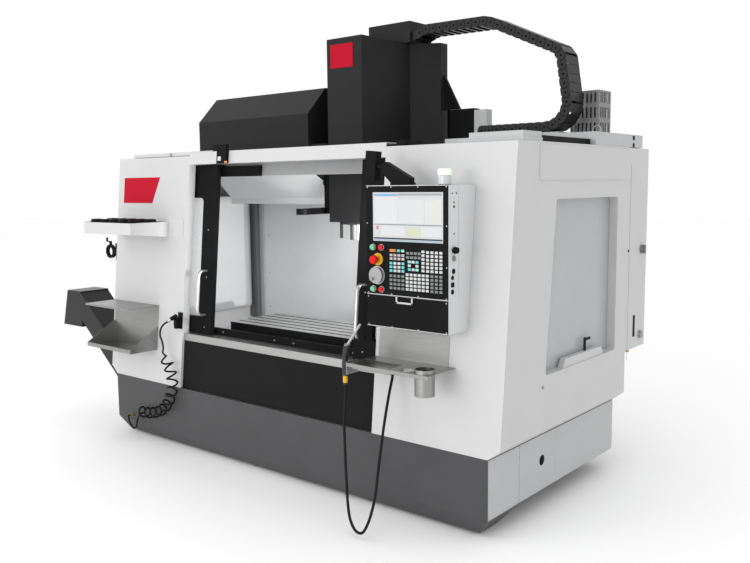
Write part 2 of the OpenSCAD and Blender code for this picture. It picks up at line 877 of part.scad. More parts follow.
module tool_carousel() color(steel_c) placed() translate([carousel_x, carousel_y, carousel_z])
    rotate([-90, 0, 0]) {
        ring_r = carousel_r - pocket_r - 6;
        pocket_h = 70;
        difference() {
            union() {
                cylinder(r = carousel_r, h = carousel_t);
                for (i = [0:pocket_n - 1]) rotate(360 * i / pocket_n) translate([ring_r, 0, -pocket_h])
                    cylinder(r = pocket_r, h = pocket_h);
                cylinder(r = hub_r, h = hood_back - sheet - hub_len - run_gap - carousel_y);
            }
            for (i = [0:pocket_n - 1]) rotate(360 * i / pocket_n) translate([ring_r, 0, -pocket_h - eps])
                cylinder(r1 = pocket_r - 8, r2 = pocket_r / 3, h = pocket_h + carousel_t / 2);
        }
    }

module tool_arm() color(dark_c) placed() translate([arm_x, spindle_y, arm_z]) {
    hub = 55;
    grip_r = 44;
    jaw_r = 32;
    arm_b = 52;
    cylinder(r = hub, h = arm_t);
    cylinder(r = arm_shaft, h = cam_z1 - arm_z - 3 * cam_wall);
    for (side = [-1, 1]) scale([side, side, 1]) difference() {
        union() {
            translate([-arm_b / 2, 0, 0]) cube([arm_b, arm_reach, arm_t]);
            translate([0, arm_reach, 0]) cylinder(r = grip_r, h = arm_t);
        }
        translate([0, arm_reach, -eps]) cylinder(r = jaw_r, h = arm_t + 2 * eps);
        translate([0, arm_reach - jaw_r, -eps]) cube([2 * grip_r, 2 * jaw_r, arm_t + 2 * eps]);
    }
}

// Moving table and head

module saddle() color(dark_c) placed() {
    y0 = table_y + 6;
    y1 = table_y + table_d - 6;
    z1 = table_z - table_t - run_gap;
    foot_t = 40;
    block = rail_b + 60;
    bx(-saddle_w / 2, saddle_w / 2, y0, y1, rail_top + foot_t, z1);
    for (side = [-1, 1]) bx(side * bed_rails / 2 - block / 2, side * bed_rails / 2 + block / 2,
        y0, y1, rail_top + run_gap, rail_top + foot_t);
}

module table() color(steel_c) placed() {
    y_mid = table_y + table_d / 2;
    skirt = 30;
    difference() {
        translate([table_x - table_w / 2, table_y, table_z - table_t]) cube([table_w, table_d, table_t]);
        for (i = [0:tslot_n - 1]) translate([table_x, y_mid + (i - (tslot_n - 1) / 2) * tslot_pitch, table_z]) {
            translate([-table_w / 2 - eps, -tslot_w / 2, -tslot_neck])
                cube([table_w + 2 * eps, tslot_w, tslot_neck + eps]);
            translate([-table_w / 2 - eps, -tslot_foot_w / 2, -tslot_neck - tslot_foot_h])
                cube([table_w + 2 * eps, tslot_foot_w, tslot_foot_h + eps]);
        }
        for (side = [-1, 1]) translate([table_x, y_mid + side * (table_d / 2), table_z - table_t])
            translate([-table_w / 2 - eps, -skirt / 2, -eps]) cube([table_w + 2 * eps, skirt, skirt]);
    }
}

boom_half = 118;
boom_top = carriage_z + carriage_h;
head_wall_y = head_y + head_side;
motor_h = 330;
bearing_h = 170;
flange_h = 15;

module head_casting() color(dark_c) placed() {
    y0 = head_y + 2 * sheet;
    difference() {
        union() {
            bx(-boom_half, boom_half, y0, head_wall_y, head_z + flange_h, boom_top);
            bx(-carriage_w / 2, carriage_w / 2, head_wall_y, column_y - rail_h - run_gap, carriage_z, boom_top);
            translate([0, spindle_y, head_z - flange_h]) cylinder(r = cart_r, h = 2 * flange_h + eps);
        }
        translate([0, spindle_y, head_z - flange_h - eps])
            cylinder(r = nose_r + bore_gap, h = bearing_h + eps);
    }
    translate([0, spindle_y + motor_r / 3, boom_top]) cylinder(r = motor_r, h = motor_h);
}

nozzle_x = 100;
nozzle_y = 42;
nozzle_r = 10;
nozzle_h = 105;

module head_cover() color(black_c) placed() {
    front = head_w / 2;
    side = front + 10;
    y1 = head_wall_y;
    y2 = y1 + flare_d;
    y3 = y2 + flange_d;
    difference() {
        prism_z(head_z, head_top, [[-front, head_y], [front, head_y], [side, y1], [-side, y1]]);
        prism_z(head_z + sheet, head_top - sheet, [
            [-front + sheet, head_y + sheet], [front - sheet, head_y + sheet],
            [side - sheet, y1 + eps], [-side + sheet, y1 + eps]
        ]);
        translate([0, spindle_y, head_z - eps]) cylinder(r = cart_r + sheet, h = sheet + 2 * eps);
        bx(-boom_half - sheet, boom_half + sheet, y1 - 2 * sheet, y1 + eps, head_z + sheet, boom_top);
    }
    for (s = [-1, 1]) mirrored(s) {
        prism_z(flare_z, head_top, [
            [side - sheet, y1], [side, y1], [flange_x, y2], [flange_x, y3],
            [flange_x - sheet, y3], [flange_x - sheet, y2 + sheet]
        ]);
        translate([nozzle_x, spindle_y - nozzle_y, head_z - nozzle_h])
            cylinder(r = nozzle_r, h = nozzle_h);
    }
    prism_z(head_top - sheet, head_top, [
        [-side, y1], [side, y1], [flange_x, y2], [flange_x, y3], [-flange_x, y3], [-flange_x, y2]
    ]);
    bx(-front, chain_box_x, chain_box_y, y3, head_top, head_top + chain_box_h);
}

way_cover_d = 5;

module z_way_cover() color(white_c) placed()
    bx(-way_cover_w / 2, way_cover_w / 2, rear_wall + way_cover_d, rear_wall + way_cover_d + sheet,
        carriage_z - way_cover_len, carriage_z);

module spindle() color(silver_c) placed() translate([0, spindle_y, nose_z]) difference() {
    body_h = head_z - flange_h + bearing_h - 2 * sheet - nose_z;
    cylinder(r = nose_r, h = body_h);
    translate([0, 0, -bore_gap]) cylinder(r1 = taper_r, r2 = taper_r / 2, h = taper_d);
}

// Cable chain: runs of links, each with a bend in degrees at every link
chain_runs = [
    [2, 0], [1, -18.3], [7, 0], [2, -12], [8, 0], [2, -28.2], [4, 0], [4, -22], [1, -10.8], [7, 0]
];
chain_start_deg = 17.5;
chain_lead = 12;
chain_low = 30;
chain_bends = [for (run = chain_runs) for (i = [1:run[0]]) run[1]];
chain_n = len(chain_bends);
chain_start = [chain_box_x + chain_lead, head_top + chain_box_h / 2 - chain_low];
function chain_deg(i) = i == 0 ? chain_start_deg + chain_bends[0] : chain_deg(i - 1) + chain_bends[i];
function chain_pin(i) = i == 0 ? chain_start
    : chain_pin(i - 1) + link_pitch * [cos(chain_deg(i - 1)), sin(chain_deg(i - 1))];
chain_end = chain_pin(chain_n);

link_r = link_h / 2;
link_gap = 0.4;
link_steps = 8;

// Points on an arc round a pin
function pin_arc(x, r, a0, a1) =
    [for (i = [0:link_steps]) let (a = a0 + (a1 - a0) * i / link_steps) [x + r * cos(a), r * sin(a)]];

// Link plate: hollowed end round its own pin, round end over the next one
low_deg = -52;
high_deg = asin(link_r / (link_r + link_gap));
link_outline = concat(
    pin_arc(0, link_r + link_gap, high_deg, low_deg),
    [[link_pitch / 2, -link_r]],
    pin_arc(link_pitch, link_r, -90, 90)
);
anchor_h = link_h - 4;
anchor_deg = asin(anchor_h / link_h);
anchor_outline = concat(
    [[run_gap - chain_lead, -anchor_h / 2]],
    pin_arc(0, link_r, -anchor_deg, anchor_deg),
    [[run_gap - chain_lead, anchor_h / 2]]
);

module link_sides(outline) for (y = [link_plate, chain_w])
    translate([0, y, 0]) rotate([90, 0, 0]) linear_extrude(link_plate) polygon(outline);

module chain_link() {
    skin = 4;
    lap = link_plate / 2;
    inside = link_plate + link_gap;
    proud = 0.5;
    lid_x = 17;
    tongue_x = 2;
    tongue_l = 18;
    bar_x = 28;
    link_sides(link_outline);
    translate([lid_x, lap, link_r - skin])
        cube([link_pitch - lid_x - proud, chain_w - 2 * lap, skin - proud]);
    translate([tongue_x, inside, link_r - skin + proud])
        cube([tongue_l, chain_w - 2 * inside, skin - 3 * proud]);
    translate([bar_x, lap, -link_r + proud]) cube([tongue_l, chain_w - 2 * lap, skin - proud]);
}

module cable_chain() color(black_c) placed() translate([0, chain_y - chain_w / 2, 0]) {
    tie_h = 40;
    translate([chain_start[0], 0, chain_start[1]]) {
        link_sides(anchor_outline);
        translate([run_gap - chain_lead, link_plate / 2, -tie_h / 2])
            cube([chain_lead / 2, chain_w - link_plate, tie_h]);
    }
    for (i = [0:chain_n - 1])
        translate([chain_pin(i)[0], 0, chain_pin(i)[1]]) rotate([0, -chain_deg(i), 0]) chain_link();
}

// Doors

door_z0 = sill_top + run_gap;
door_z1 = header_z - 4;

module door_frame(side) color(black_c) placed() mirrored(side) {
    x0 = door_open_x;
    x1 = door_open_x + door_w;
    difference() {
        slab(x0, x1, door_set, door_set + door_t, door_z0, door_z1);
        prism_y(0, ys(door_z1) + 2 * header_d, rounded(
            rect(x0 + stile_w, x1 - rail_w, door_z0 + door_foot, door_z1 - door_head), door_corner));
    }
}

module door_pane(side) color(clear_c) placed() mirrored(side) {
    lap = 14;
    slab(door_open_x + stile_w - lap, door_open_x + door_w - rail_w + lap,
        door_set + door_t + run_gap, door_set + door_t + run_gap + pane_t,
        door_z0 + door_foot - lap, door_z1 - door_head + lap);
}

handle_z = 1020;
handle_in = 62;

module door_handle(side) color(silver_c) placed() mirrored(side)
    translate([door_open_x + handle_in, ys(handle_z) + door_set, handle_z]) rotate([-lean_deg, 0, 0]) {
        bar = handle_len / 2 - handle_bend;
        stem = handle_reach - handle_bend;
        translate([0, -handle_reach, -bar]) cylinder(r = handle_r, h = 2 * bar);
        for (s = [-1, 1]) scale([1, 1, s]) {
            translate([0, -stem, bar + handle_bend]) rotate([-90, 0, 0]) cylinder(r = handle_r, h = stem);
            translate([0, -stem, bar]) rotate([90, 0, -90])
                rotate_extrude(angle = 90) translate([handle_bend, 0]) circle(r = handle_r);
        }
    }

module left_door_frame() door_frame(-1);
module left_door_pane() door_pane(-1);
module left_door_handle() door_handle(-1);
module right_door_frame() door_frame(1);
module right_door_pane() door_pane(1);
module right_door_handle() door_handle(1);

// Pendant

pend_x1 = pendant_x0 + pendant_w;
pend_top = pendant_z + pendant_h;
split_z = pendant_z + storage_h;
face_y = -pendant_y;
pend_gap = 1;

module pendant_housing() color(grey_c) placed() {
    w = pendant_wall;
    groove_y = face_y + console_d + w;
    difference() {
        prism_x(pendant_x0, pend_x1, [
            [face_y, pendant_z], [ys(pendant_z) - pend_gap, pendant_z],
            [ys(pend_top) - pend_gap, pend_top], [face_y, pend_top]
        ]);
        bx(pendant_x0 + w, pend_x1 - w, face_y - eps, face_y + console_d, split_z + w, pend_top - w);
        bx(pendant_x0 + w, pend_x1 - w, face_y - eps, face_y + storage_d, pendant_z + w, split_z - w);
        bx(pendant_x0 - eps, pendant_x0 + w / 2, groove_y, groove_y + w, split_z, pend_top + eps);
        bx(pend_x1 - w / 2, pend_x1 + eps, groove_y, groove_y + w, split_z, pend_top + eps);
    }
}

screen_x = 916;
screen_z = 1420;
button_x = [917, 968];
button_hi = 1389;
button_lo = 1185;
estop_x = 946;
estop_z = 1331;
jog_x = 942;
jog_z = 1253;
// Key blocks: first key's x and z, columns, rows, pitch across, pitch down
key_blocks = [
    [1029, 1355, 4, 2, 23.7, 17], [1028, 1316, 4, 3, 24, 18], [1027, 1255, 4, 4, 24, 19.7],
    [1128, 1368, 4, 2, 22.7, 20], [1138, 1327, 3, 3, 22.5, 18], [1218, 1378, 1, 6, 24, 17.8],
    [1244, 1376, 4, 6, 25, 17.6], [1125, 1266, 6, 5, 23.4, 17.5], [1269, 1266, 3, 5, 25, 17.7],
    [1073, 1377, 2, 1, 26, 17]
];
wide_key = [1038, 1377, 36];
key_h = 2;
ring_h = 3;
stem_r = 6;
stem_len = 14;

module hole_y(x, z, r) translate([x, face_y - 2 * face_t, z]) rotate([-90, 0, 0])
    cylinder(r = r, h = 4 * face_t);

// One key fused to the face plate, centred at x and z
module key_cap(x, z, w) translate([x - w / 2, face_y - face_t - key_h, z - key_tall / 2])
    cube([w, key_h, key_tall]);

module pendant_console() color(black_c) placed() {
    y0 = face_y - face_t;
    bezel = 3;
    difference() {
        bx(pendant_x0, pend_x1, y0, face_y, split_z + pend_gap, pend_top);
        bx(screen_x, screen_x + screen_w, y0 - eps, y0 + bezel / 2, screen_z, screen_z + screen_h);
        for (x = button_x) for (z = [button_hi, button_lo]) hole_y(x, z, stem_r + run_gap);
        hole_y(estop_x, estop_z, stem_r + run_gap);
        hole_y(jog_x, jog_z, stem_r + run_gap);
    }
    difference() {
        translate([estop_x, y0, estop_z]) rotate([90, 0, 0]) cylinder(r = estop_r + 7, h = ring_h);
        hole_y(estop_x, estop_z, stem_r + run_gap);
    }
    for (b = key_blocks) for (i = [0:b[2] - 1]) for (j = [0:b[3] - 1])
        key_cap(b[0] + i * b[4], b[1] - j * b[5], key_w);
    key_cap(wide_key[0], wide_key[1], wide_key[2]);
}

module storage_door() color(black_c) placed() {
    y0 = face_y - face_t;
    pull_w = 100;
    pull_h = 24;
    pull_t = 8;
    pull_reach = 16;
    x_mid = pendant_x0 + pendant_w / 2;
    z1 = split_z - pend_gap;
    bx(pendant_x0, pend_x1, y0, face_y - run_gap, pendant_z, z1);
    for (x = [x_mid - pull_w / 2, x_mid + pull_w / 2 - pull_t])
        bx(x, x + pull_t, y0 - pull_reach, y0, z1 - pull_h - pull_t, z1 - pull_h);
    bx(x_mid - pull_w / 2, x_mid + pull_w / 2, y0 - pull_reach, y0 - pull_reach + pull_t,
        z1 - pull_h - pull_t, z1 - pull_h);
}

// Push button: head before the face plate, stem through it
module push(x, z, r, h, lift) color(silver_c) placed() translate([x, face_y - face_t, z])
    rotate([90, 0, 0]) {
        translate([0, 0, lift]) cylinder(r = r, h = h);
        translate([0, 0, -stem_len]) cylinder(r = stem_r, h = stem_len + lift + eps);
    }

button_lift = 4.3;
button_h = 8;

module emergency_stop() {
    push(estop_x, estop_z, stem_r * 2, estop_h - 16, ring_h + 6.3);
    color("red") placed() translate([estop_x, face_y - face_t - estop_h, estop_z])
        rotate([-90, 0, 0]) cylinder(r1 = estop_r - 3, r2 = estop_r, h = 16);
}

module jog_wheel() {
    push(jog_x, jog_z, jog_r, 18, run_gap);
    color(silver_c) placed() translate([jog_x - jog_r * 0.45, face_y - face_t - 18, jog_z - jog_r * 0.45])
        rotate([90, 0, 0]) cylinder(r = 8, h = 14);
}

module power_on_button() push(button_x[0], button_hi, button_r, button_h, button_lift);
module power_off_button() push(button_x[1], button_hi, button_r, button_h, button_lift);
module cycle_start_button() push(button_x[0], button_lo, button_r, button_h, button_lift);
module feed_hold_button() push(button_x[1], button_lo, button_r, button_h, button_lift);

beacon_x = 1305;
beacon_y = -62;
grip_x = 872;
grip_y = -62;
grip_z = 1712;
grip_h = 142;
arm_foot_x = 1010;
arm_foot_w = 110;

module pendant_fittings() color(black_c) placed() {
    translate([beacon_x, beacon_y, pend_top]) cylinder(r = beacon_r, h = beacon_h);
    bx(arm_foot_x, arm_foot_x + arm_foot_w, beacon_y - 28, beacon_y + 28, pend_top, pend_top + 12);
    prism_y(beacon_y - 18, beacon_y + 18, [
        [arm_foot_x + arm_foot_w, pend_top + 6], [arm_foot_x + arm_foot_w, pend_top + 34],
        [arm_foot_x - 40, pend_top + 112], [arm_foot_x - 62, pend_top + 62], [arm_foot_x, pend_top + 6]
    ]);
    rod([arm_foot_x - 30, beacon_y, pend_top + 84], [grip_x, grip_y, grip_z + 72], 14);
    translate([grip_x, grip_y, grip_z]) rotate([0, 6, 0])
        translate([-33, -21, 0]) cube([66, 42, grip_h]);
}

// Trays, bin and vise

module tool_tray() color(white_c) placed() {
    x1 = tray_x0 + tray_w;
    z0 = tray_z - tray_h;
    plate_low = 24;
    plate_side = 150;
    hole_cols = 5;
    hole_rows = 2;
    col = tray_w / hole_cols;
    row = 120;
    slab(tray_x0, x1 + plate_side, -sheet, 0, z0 - plate_low, tray_z + plate_low);
    difference() {
        prism_x(tray_x0, x1, [
            [-tray_reach, z0], [ys(z0 - plate_low) - sheet, z0 - plate_low],
            [ys(tray_z) - sheet, tray_z], [-tray_reach, tray_z]
        ]);
        prism_x(tray_x0 + sheet, x1 - sheet, [
            [-tray_reach + sheet, z0 - eps], [ys(z0) - 2 * sheet, z0 - plate_low - 2 * eps],
            [ys(tray_z) - 2 * sheet, tray_z - sheet], [-tray_reach + sheet, tray_z - sheet]
        ]);
        for (i = [0:hole_cols - 1]) for (j = [0:hole_rows - 1])
            translate([tray_x0 + (i + 0.5) * col, -tray_reach + (j + 0.55) * row, tray_z - 2 * sheet])
                cylinder(r = tray_hole, h = 4 * sheet);
    }
}

module parts_bin() color(steel_c) placed() {
    x1 = bin_x0 + bin_w;
    side_top = bin_z + 154;
    lip = 12;
    slab(bin_x0, x1, -steel_t, 0, bin_z, bin_top);
    prism_x(bin_x0, x1, [
        [-bin_reach, bin_top - lip], [-bin_reach + steel_t, bin_top - lip],
        [-bin_reach + steel_t, bin_top - steel_t],
        [ys(bin_top - steel_t) - steel_t / 2, bin_top - steel_t],
        [ys(bin_top) - steel_t / 2, bin_top], [-bin_reach, bin_top]
    ]);
    prism_x(bin_x0, x1, [
        [-bin_reach, bin_z + bin_lip], [-bin_reach, bin_z + steel_t], [ys(bin_z) - steel_t / 2, bin_z],
        [ys(bin_z + steel_t) - steel_t / 2, bin_z + steel_t],
        [-bin_reach + steel_t, bin_z + 2 * steel_t], [-bin_reach + steel_t, bin_z + bin_lip]
    ]);
    for (x = [bin_x0, x1 - steel_t]) prism_x(x, x + steel_t, [
        [-bin_reach + steel_t, bin_z + 1.5 * steel_t], [ys(bin_z) - steel_t / 2, bin_z + steel_t / 2],
        [ys(side_top) - steel_t / 2, side_top], [-bin_reach + steel_t, bin_z + bin_lip]
    ]);
}

vise_y = 108;
vise_z = 1243;
vise_t = 22;
vise_x = -half_w - vise_reach;
lever_z = vise_z + vise_r;

module toolholder_vise() color(black_c) placed() {
    plate_t = 12;
    plate_h = 116;
    plate_d = 74;
    web = 34;
    bx(-half_w - plate_t, -half_w, vise_y + 4, vise_y + 4 + plate_d, vise_z - plate_h / 2, vise_z + plate_h / 2);
    difference() {
        union() {
            translate([vise_x, vise_y - vise_t / 2, vise_z]) rotate([-90, 0, 0])
                cylinder(r = vise_r, h = vise_t);
            bx(vise_x, -half_w - plate_t + eps, vise_y - vise_t / 2, vise_y + vise_t / 2,
                vise_z - web / 2, vise_z + web / 2);
            bx(-half_w - plate_t - web, -half_w - plate_t, vise_y - vise_t / 2, vise_y + plate_d,
                vise_z - web / 2, vise_z + web / 2);
        }
        translate([vise_x, vise_y - vise_t / 2 - eps, vise_z]) rotate([-90, 0, 0])
            cylinder(r = vise_bore, h = vise_t + 2 * eps);
    }
}

lever_len = 42;

module vise_lever() color(black_c) placed() translate([vise_x, vise_y, lever_z + run_gap]) {
    pin_r = 10;
    pin_h = 24;
    grip_len = 30;
    grip_y = 7;
    cylinder(r = pin_r, h = pin_h);
    translate([-lever_len, -grip_y / 2, pin_h - grip_y]) cube([lever_len, grip_y, grip_y]);
    translate([-lever_len, 0, pin_h - grip_y + eps]) cylinder(r = grip_y, h = grip_len);
}

// Air gun, wash gun and hoses

gun_x = -840;
gun_z = 838;
connector = [-872, -26, 834];

module air_gun() color(black_c) placed() {
    y0 = ys(gun_z);
    slab(gun_x - 4, -half_o - sheet, -8, 0, gun_z - 52, gun_z + 52);
    bx(gun_x, gun_x + 30, y0 - 44, ys(gun_z - 48) - 1, gun_z - 48, gun_z + 20);
    rod([gun_x + 26, y0 - 40, gun_z + 36], [gun_x - 8, y0 - 56, gun_z + 14], 13);
    rod([gun_x - 4, y0 - 54, gun_z + 16], connector, 9);
}

fitting_x = -1340;
fitting_z = 138;
fitting_len = 26;

module air_fitting() color([0.75, 0.60, 0.28]) placed()
    translate([fitting_x, 0, fitting_z]) rotate([90, 0, 0]) {
        cylinder(r = 12, h = 10, $fn = 6);
        cylinder(r = 8, h = fitting_len);
    }

// Smooth curve through hand-placed points, several rings to a span
function spline(p, q, r, s, t) =
    q + t * (r - p) / 2 + t * t * (p - 2.5 * q + 2 * r - s / 2) + t * t * t * (1.5 * (q - r) + (s - p) / 2);
function route(pts, n) =
    [for (i = [0:len(pts) - 2]) for (k = [0:n - 1])
        spline(pts[max(i - 1, 0)], pts[i], pts[i + 1], pts[min(i + 2, len(pts) - 1)], k / n),
     pts[len(pts) - 1]];
function turn_to(a, b, v) =
    let (c = cross(a, b), s = norm(c), d = a * b)
    s < 0.00001 ? v : v * d + cross(c, v) + c * (c * v) * (1 - d) / (s * s);
function tangent(r, i) = unit(r[min(i + 1, len(r) - 1)] - r[max(i - 1, 0)]);
function side_dir(r, i) =
    i == 0 ? unit(cross(tangent(r, 0), [0.31, 0.87, 0.39]))
           : turn_to(tangent(r, i - 1), tangent(r, i), side_dir(r, i - 1));

module tube(pts, rad, n, sides) {
    r = route(pts, n);
    m = len(r);
    rings = [for (i = [0:m - 1])
        let (t = tangent(r, i), u = side_dir(r, i), v = cross(t, u))
        for (k = [0:sides - 1]) r[i] + rad * (u * cos(360 * k / sides) + v * sin(360 * k / sides))];
    walls = [for (i = [0:m - 2]) for (k = [0:sides - 1])
        [i * sides + k, (i + 1) * sides + k, (i + 1) * sides + (k + 1) % sides, i * sides + (k + 1) % sides]];
    caps = [[for (k = [0:sides - 1]) k], [for (k = [0:sides - 1]) (m - 1) * sides + sides - 1 - k]];
    polyhedron(rings, concat(walls, caps));
}

air_hose_r = 4;
coil_r = 32;
lead_in = [
    connector, [-905, -34, 812], [-928, -40, 780], [-932, -43, 740], [-912, -43, 700],
    [-905, -43, 660], [-914, -43, 630], [-900, -43, 606]
];
coil_path = [
    [-900, -43, 612], [-876, -43, 584], [-842, -43, 530], [-824, -43, 466], [-836, -43, 384],
    [-880, -43, 304], [-950, -43, 244], [-1040, -43, 212], [-1120, -43, 200], [-1200, -43, 196]
];
lead_out = [
    [-1194, -43, 196], [-1216, -43, 176], [-1226, -43, 130], [-1240, -43, 84], [-1270, -44, 64],
    [-1304, -44, 84], [-1328, -42, 118], [-1340, -34, 138], [-1340, -26, 138]
];
wash_hose_r = 7;
gun_r = 15;
wash_path = [
    [760, -153, 690], [762, -156, 640], [772, -172, 580], [790, -200, 500], [818, -230, 420],
    [846, -258, 330], [874, -284, 240], [900, -306, 150], [930, -324, 80], [970, -332, 36],
    [1010, -330, 34], [1036, -322, 76], [1050, -304, 140], [1054, -280, 220], [1044, -244, 330],
    [1026, -196, 440], [1006, -140, 560], [988, -86, 660], [978, -48, 730], [975, -34, 775]
];

module air_hose_lead() color(black_c) placed() {
    tube(lead_in, air_hose_r, 2, 8);
    tube(lead_out, air_hose_r, 2, 8);
}

module air_hose_coil() color(black_c) placed() tube(coil_path, coil_r, 1, 12);

module wash_hose() color(black_c) placed() tube(wash_path, wash_hose_r, 2, 10);

module wash_gun() color(grey_c) placed() {
    p = wash_path[0];
    translate(p) cylinder(r = 11, h = 46);
    translate(p + [0, 0, 46]) cylinder(r = gun_r, h = 104);
    rod(p + [0, 0, 146], p + [18, 0, 206], 17);
    rod(p + [18, 0, 206], p + [66, 0, 268], 7);
    rod(p + [66, 0, 268], p + [104, 0, 318], 6);
    translate(p + [-20, -4, 90]) rotate([0, 6, 0]) cube([8, 8, 100]);
}

module accessory_tray() color(steel_c) placed() {
    plate_x1 = 1258;
    plate_h = 146;
    lip = 18;
    cup_x = 1244;
    cup_y = -138;
    cup_top = shelf_z + 20;
    pocket = [820, 1060];
    pocket_y = [-170, -60];
    pocket_d = 30;
    ring_x = 1140;
    ring_r = 36;
    y1 = ys(shelf_z - steel_t);
    slab(shelf_x0 + 22, plate_x1, -steel_t, 0, shelf_z - steel_t, shelf_z + plate_h);
    difference() {
        union() {
            bx(shelf_x0, shelf_x1, -shelf_reach, y1, shelf_z - steel_t, shelf_z);
            bx(shelf_x0, shelf_x1, -shelf_reach, -shelf_reach + steel_t, shelf_z - lip, shelf_z);
            bx(pocket[0], pocket[1], pocket_y[0], pocket_y[1], shelf_z - pocket_d, shelf_z);
            translate([cup_x, cup_y, cup_top - cup_h]) cylinder(r = cup_r, h = cup_h);
            translate([wash_path[19][0], wash_path[19][1], wash_path[19][2]])
                cylinder(r = 12, h = shelf_z - steel_t - wash_path[19][2]);
        }
        bx(pocket[0] + steel_t, pocket[1] - steel_t, pocket_y[0] + steel_t, pocket_y[1] - steel_t,
            shelf_z - pocket_d + steel_t, shelf_z + eps);
        translate([ring_x, cup_y, shelf_z - 2 * lip]) cylinder(r = ring_r, h = 3 * lip);
        translate([cup_x, cup_y, cup_top - cup_h + steel_t]) cylinder(r = cup_r - steel_t, h = cup_h);
    }
    bx(shelf_x0 - steel_t, shelf_x0 + steel_t, -shelf_reach, -shelf_reach + 90, shelf_z - 60, shelf_z + 6);
    bx(wash_path[0][0] + gun_r + run_gap, shelf_x0, wash_path[0][1] - 8, wash_path[0][1] + 8,
        shelf_z - 44, shelf_z - 20);
}

// Electrical cabinet

box_wall = 3;

module electrical_cabinet() color(white_c) placed() difference() {
    y1 = cabinet_back - cabinet_door_t - run_gap;
    bx(cabinet_x0, half_w, side_len + run_gap, y1, cabinet_z, panel_top);
    bx(cabinet_x0 + box_wall, half_w - box_wall, side_len + 2 * box_wall, y1 + eps,
        cabinet_z + box_wall, panel_top - box_wall);
    translate([half_w - 2 * box_wall, switch_y, switch_z]) rotate([0, 90, 0])
        cylinder(r = switch_shaft + bore_gap, h = 4 * box_wall);
}

module cabinet_door() color(white_c) placed() {
    y0 = cabinet_back - cabinet_door_t;
    bx(cabinet_x0, half_w - box_wall, y0, cabinet_back, cabinet_z, panel_top - box_wall);
}

switch_y = 1618;
switch_z = 1292;
switch_shaft = 8;

module main_switch() color(black_c) placed() translate([half_w + run_gap, switch_y, switch_z])
    rotate([0, 90, 0]) {
        grip = switch_r * 0.5;
        base_t = switch_h / 2;
        cylinder(r = switch_r, h = base_t);
        translate([-switch_r, -grip / 2, base_t - eps])
            cube([2 * switch_r, grip, switch_h - run_gap - base_t + eps]);
        translate([0, 0, -3 * box_wall]) cylinder(r = switch_shaft, h = 3 * box_wall + eps);
    }

resistor_x = 1206;
resistor_y = 1393;
resistor_d = 160;
tier_n = 3;
slot_n = 6;

module brake_resistor() color(grey_c) placed() translate([resistor_x, resistor_y, roof_z + tower_h]) difference() {
    wall = 4;
    tier = resistor_h / tier_n;
    slot_pitch = resistor_w / (slot_n + 1);
    cube([resistor_w, resistor_d, resistor_h]);
    translate([wall, wall, -eps]) cube([resistor_w - 2 * wall, resistor_d - 2 * wall, resistor_h - wall + eps]);
    for (t = [0:tier_n - 1]) for (i = [1:slot_n]) {
        translate([i * slot_pitch - 6, -eps, t * tier + 18]) cube([12, resistor_d + 2 * eps, tier - 28]);
        translate([-eps, i * resistor_d / (slot_n + 1) - 6, t * tier + 18])
            cube([resistor_w + 2 * eps, 12, tier - 28]);
    }
}

// Chip conveyor

tube_rise = tan(tube_deg);
tube_x0 = -half_b - sheet - run_gap;
tube_z0 = 322;
discharge_w = 249;
discharge_h = 262;
discharge_lean = 73;
discharge_z = 677;
notch_z = tube_z0 + tube_h + (half_w - half_b + 2 * sheet) * tube_rise + 2 * tube_room;

tube_x1 = discharge_x + discharge_w;
tube_z1 = tube_z0 + (tube_x0 - tube_x1) * tube_rise;
function tube_body(t) = [
    [tube_x0 + t, tube_z0 + t / cos(tube_deg)], [tube_x1 - t, tube_z1 + t / cos(tube_deg)],
    [tube_x1 - t, tube_z1 + tube_h - t / cos(tube_deg)],
    [tube_x0 + t, tube_z0 + tube_h - t / cos(tube_deg)]
];

module chip_conveyor() color(dark_c) placed() {
    x1 = tube_x1;
    wall = sheet;
    difference() {
        union() {
            prism_y(tube_y, tube_y + tube_w, tube_body(0));
            prism_y(tube_y, tube_y + tube_w, [
                [discharge_x, discharge_z], [x1, discharge_z], [x1, discharge_z + discharge_h],
                [discharge_x + discharge_lean, discharge_z + discharge_h]
            ]);
        }
        prism_y(tube_y + wall, tube_y + tube_w - wall, tube_body(wall));
        prism_y(tube_y + wall, tube_y + tube_w - wall, [
            [discharge_x + wall, discharge_z - eps], [x1 - wall, discharge_z - eps],
            [x1 - wall, discharge_z + discharge_h - wall],
            [discharge_x + discharge_lean + wall, discharge_z + discharge_h - wall]
        ]);
    }
}

base_pan();
base_side_plates();
leveling_feet();
machine_frame();
front_apron();
sill_rail();
door_track();
header_beam();
left_front_panel();
right_front_panel();
left_side_panel();
right_side_panel();
side_windows();
inner_liner();
roof_panels();
roof_boxes();
toolchanger_hood();
toolchanger_shroud();
electrical_cabinet();
brake_resistor();
chip_conveyor();
tool_tray();
parts_bin();
toolholder_vise();
air_gun();
air_hose_lead();
air_hose_coil();
air_fitting();
accessory_tray();
wash_gun();
wash_hose();
vise_lever();
cabinet_door();
main_switch();
chip_auger();
left_door_frame();
left_door_pane();
left_door_handle();
right_door_frame();
right_door_pane();
right_door_handle();
saddle();
table();
head_casting();
head_cover();
z_way_cover();
cable_chain();
spindle();
tool_carousel();
tool_arm();
pendant_housing();
pendant_console();
storage_door();
emergency_stop();
jog_wheel();
power_on_button();
power_off_button();
cycle_start_button();
feed_hold_button();
pendant_fittings();
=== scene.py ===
import json
import math

import bmesh
import bpy
from mathutils import Matrix, Vector


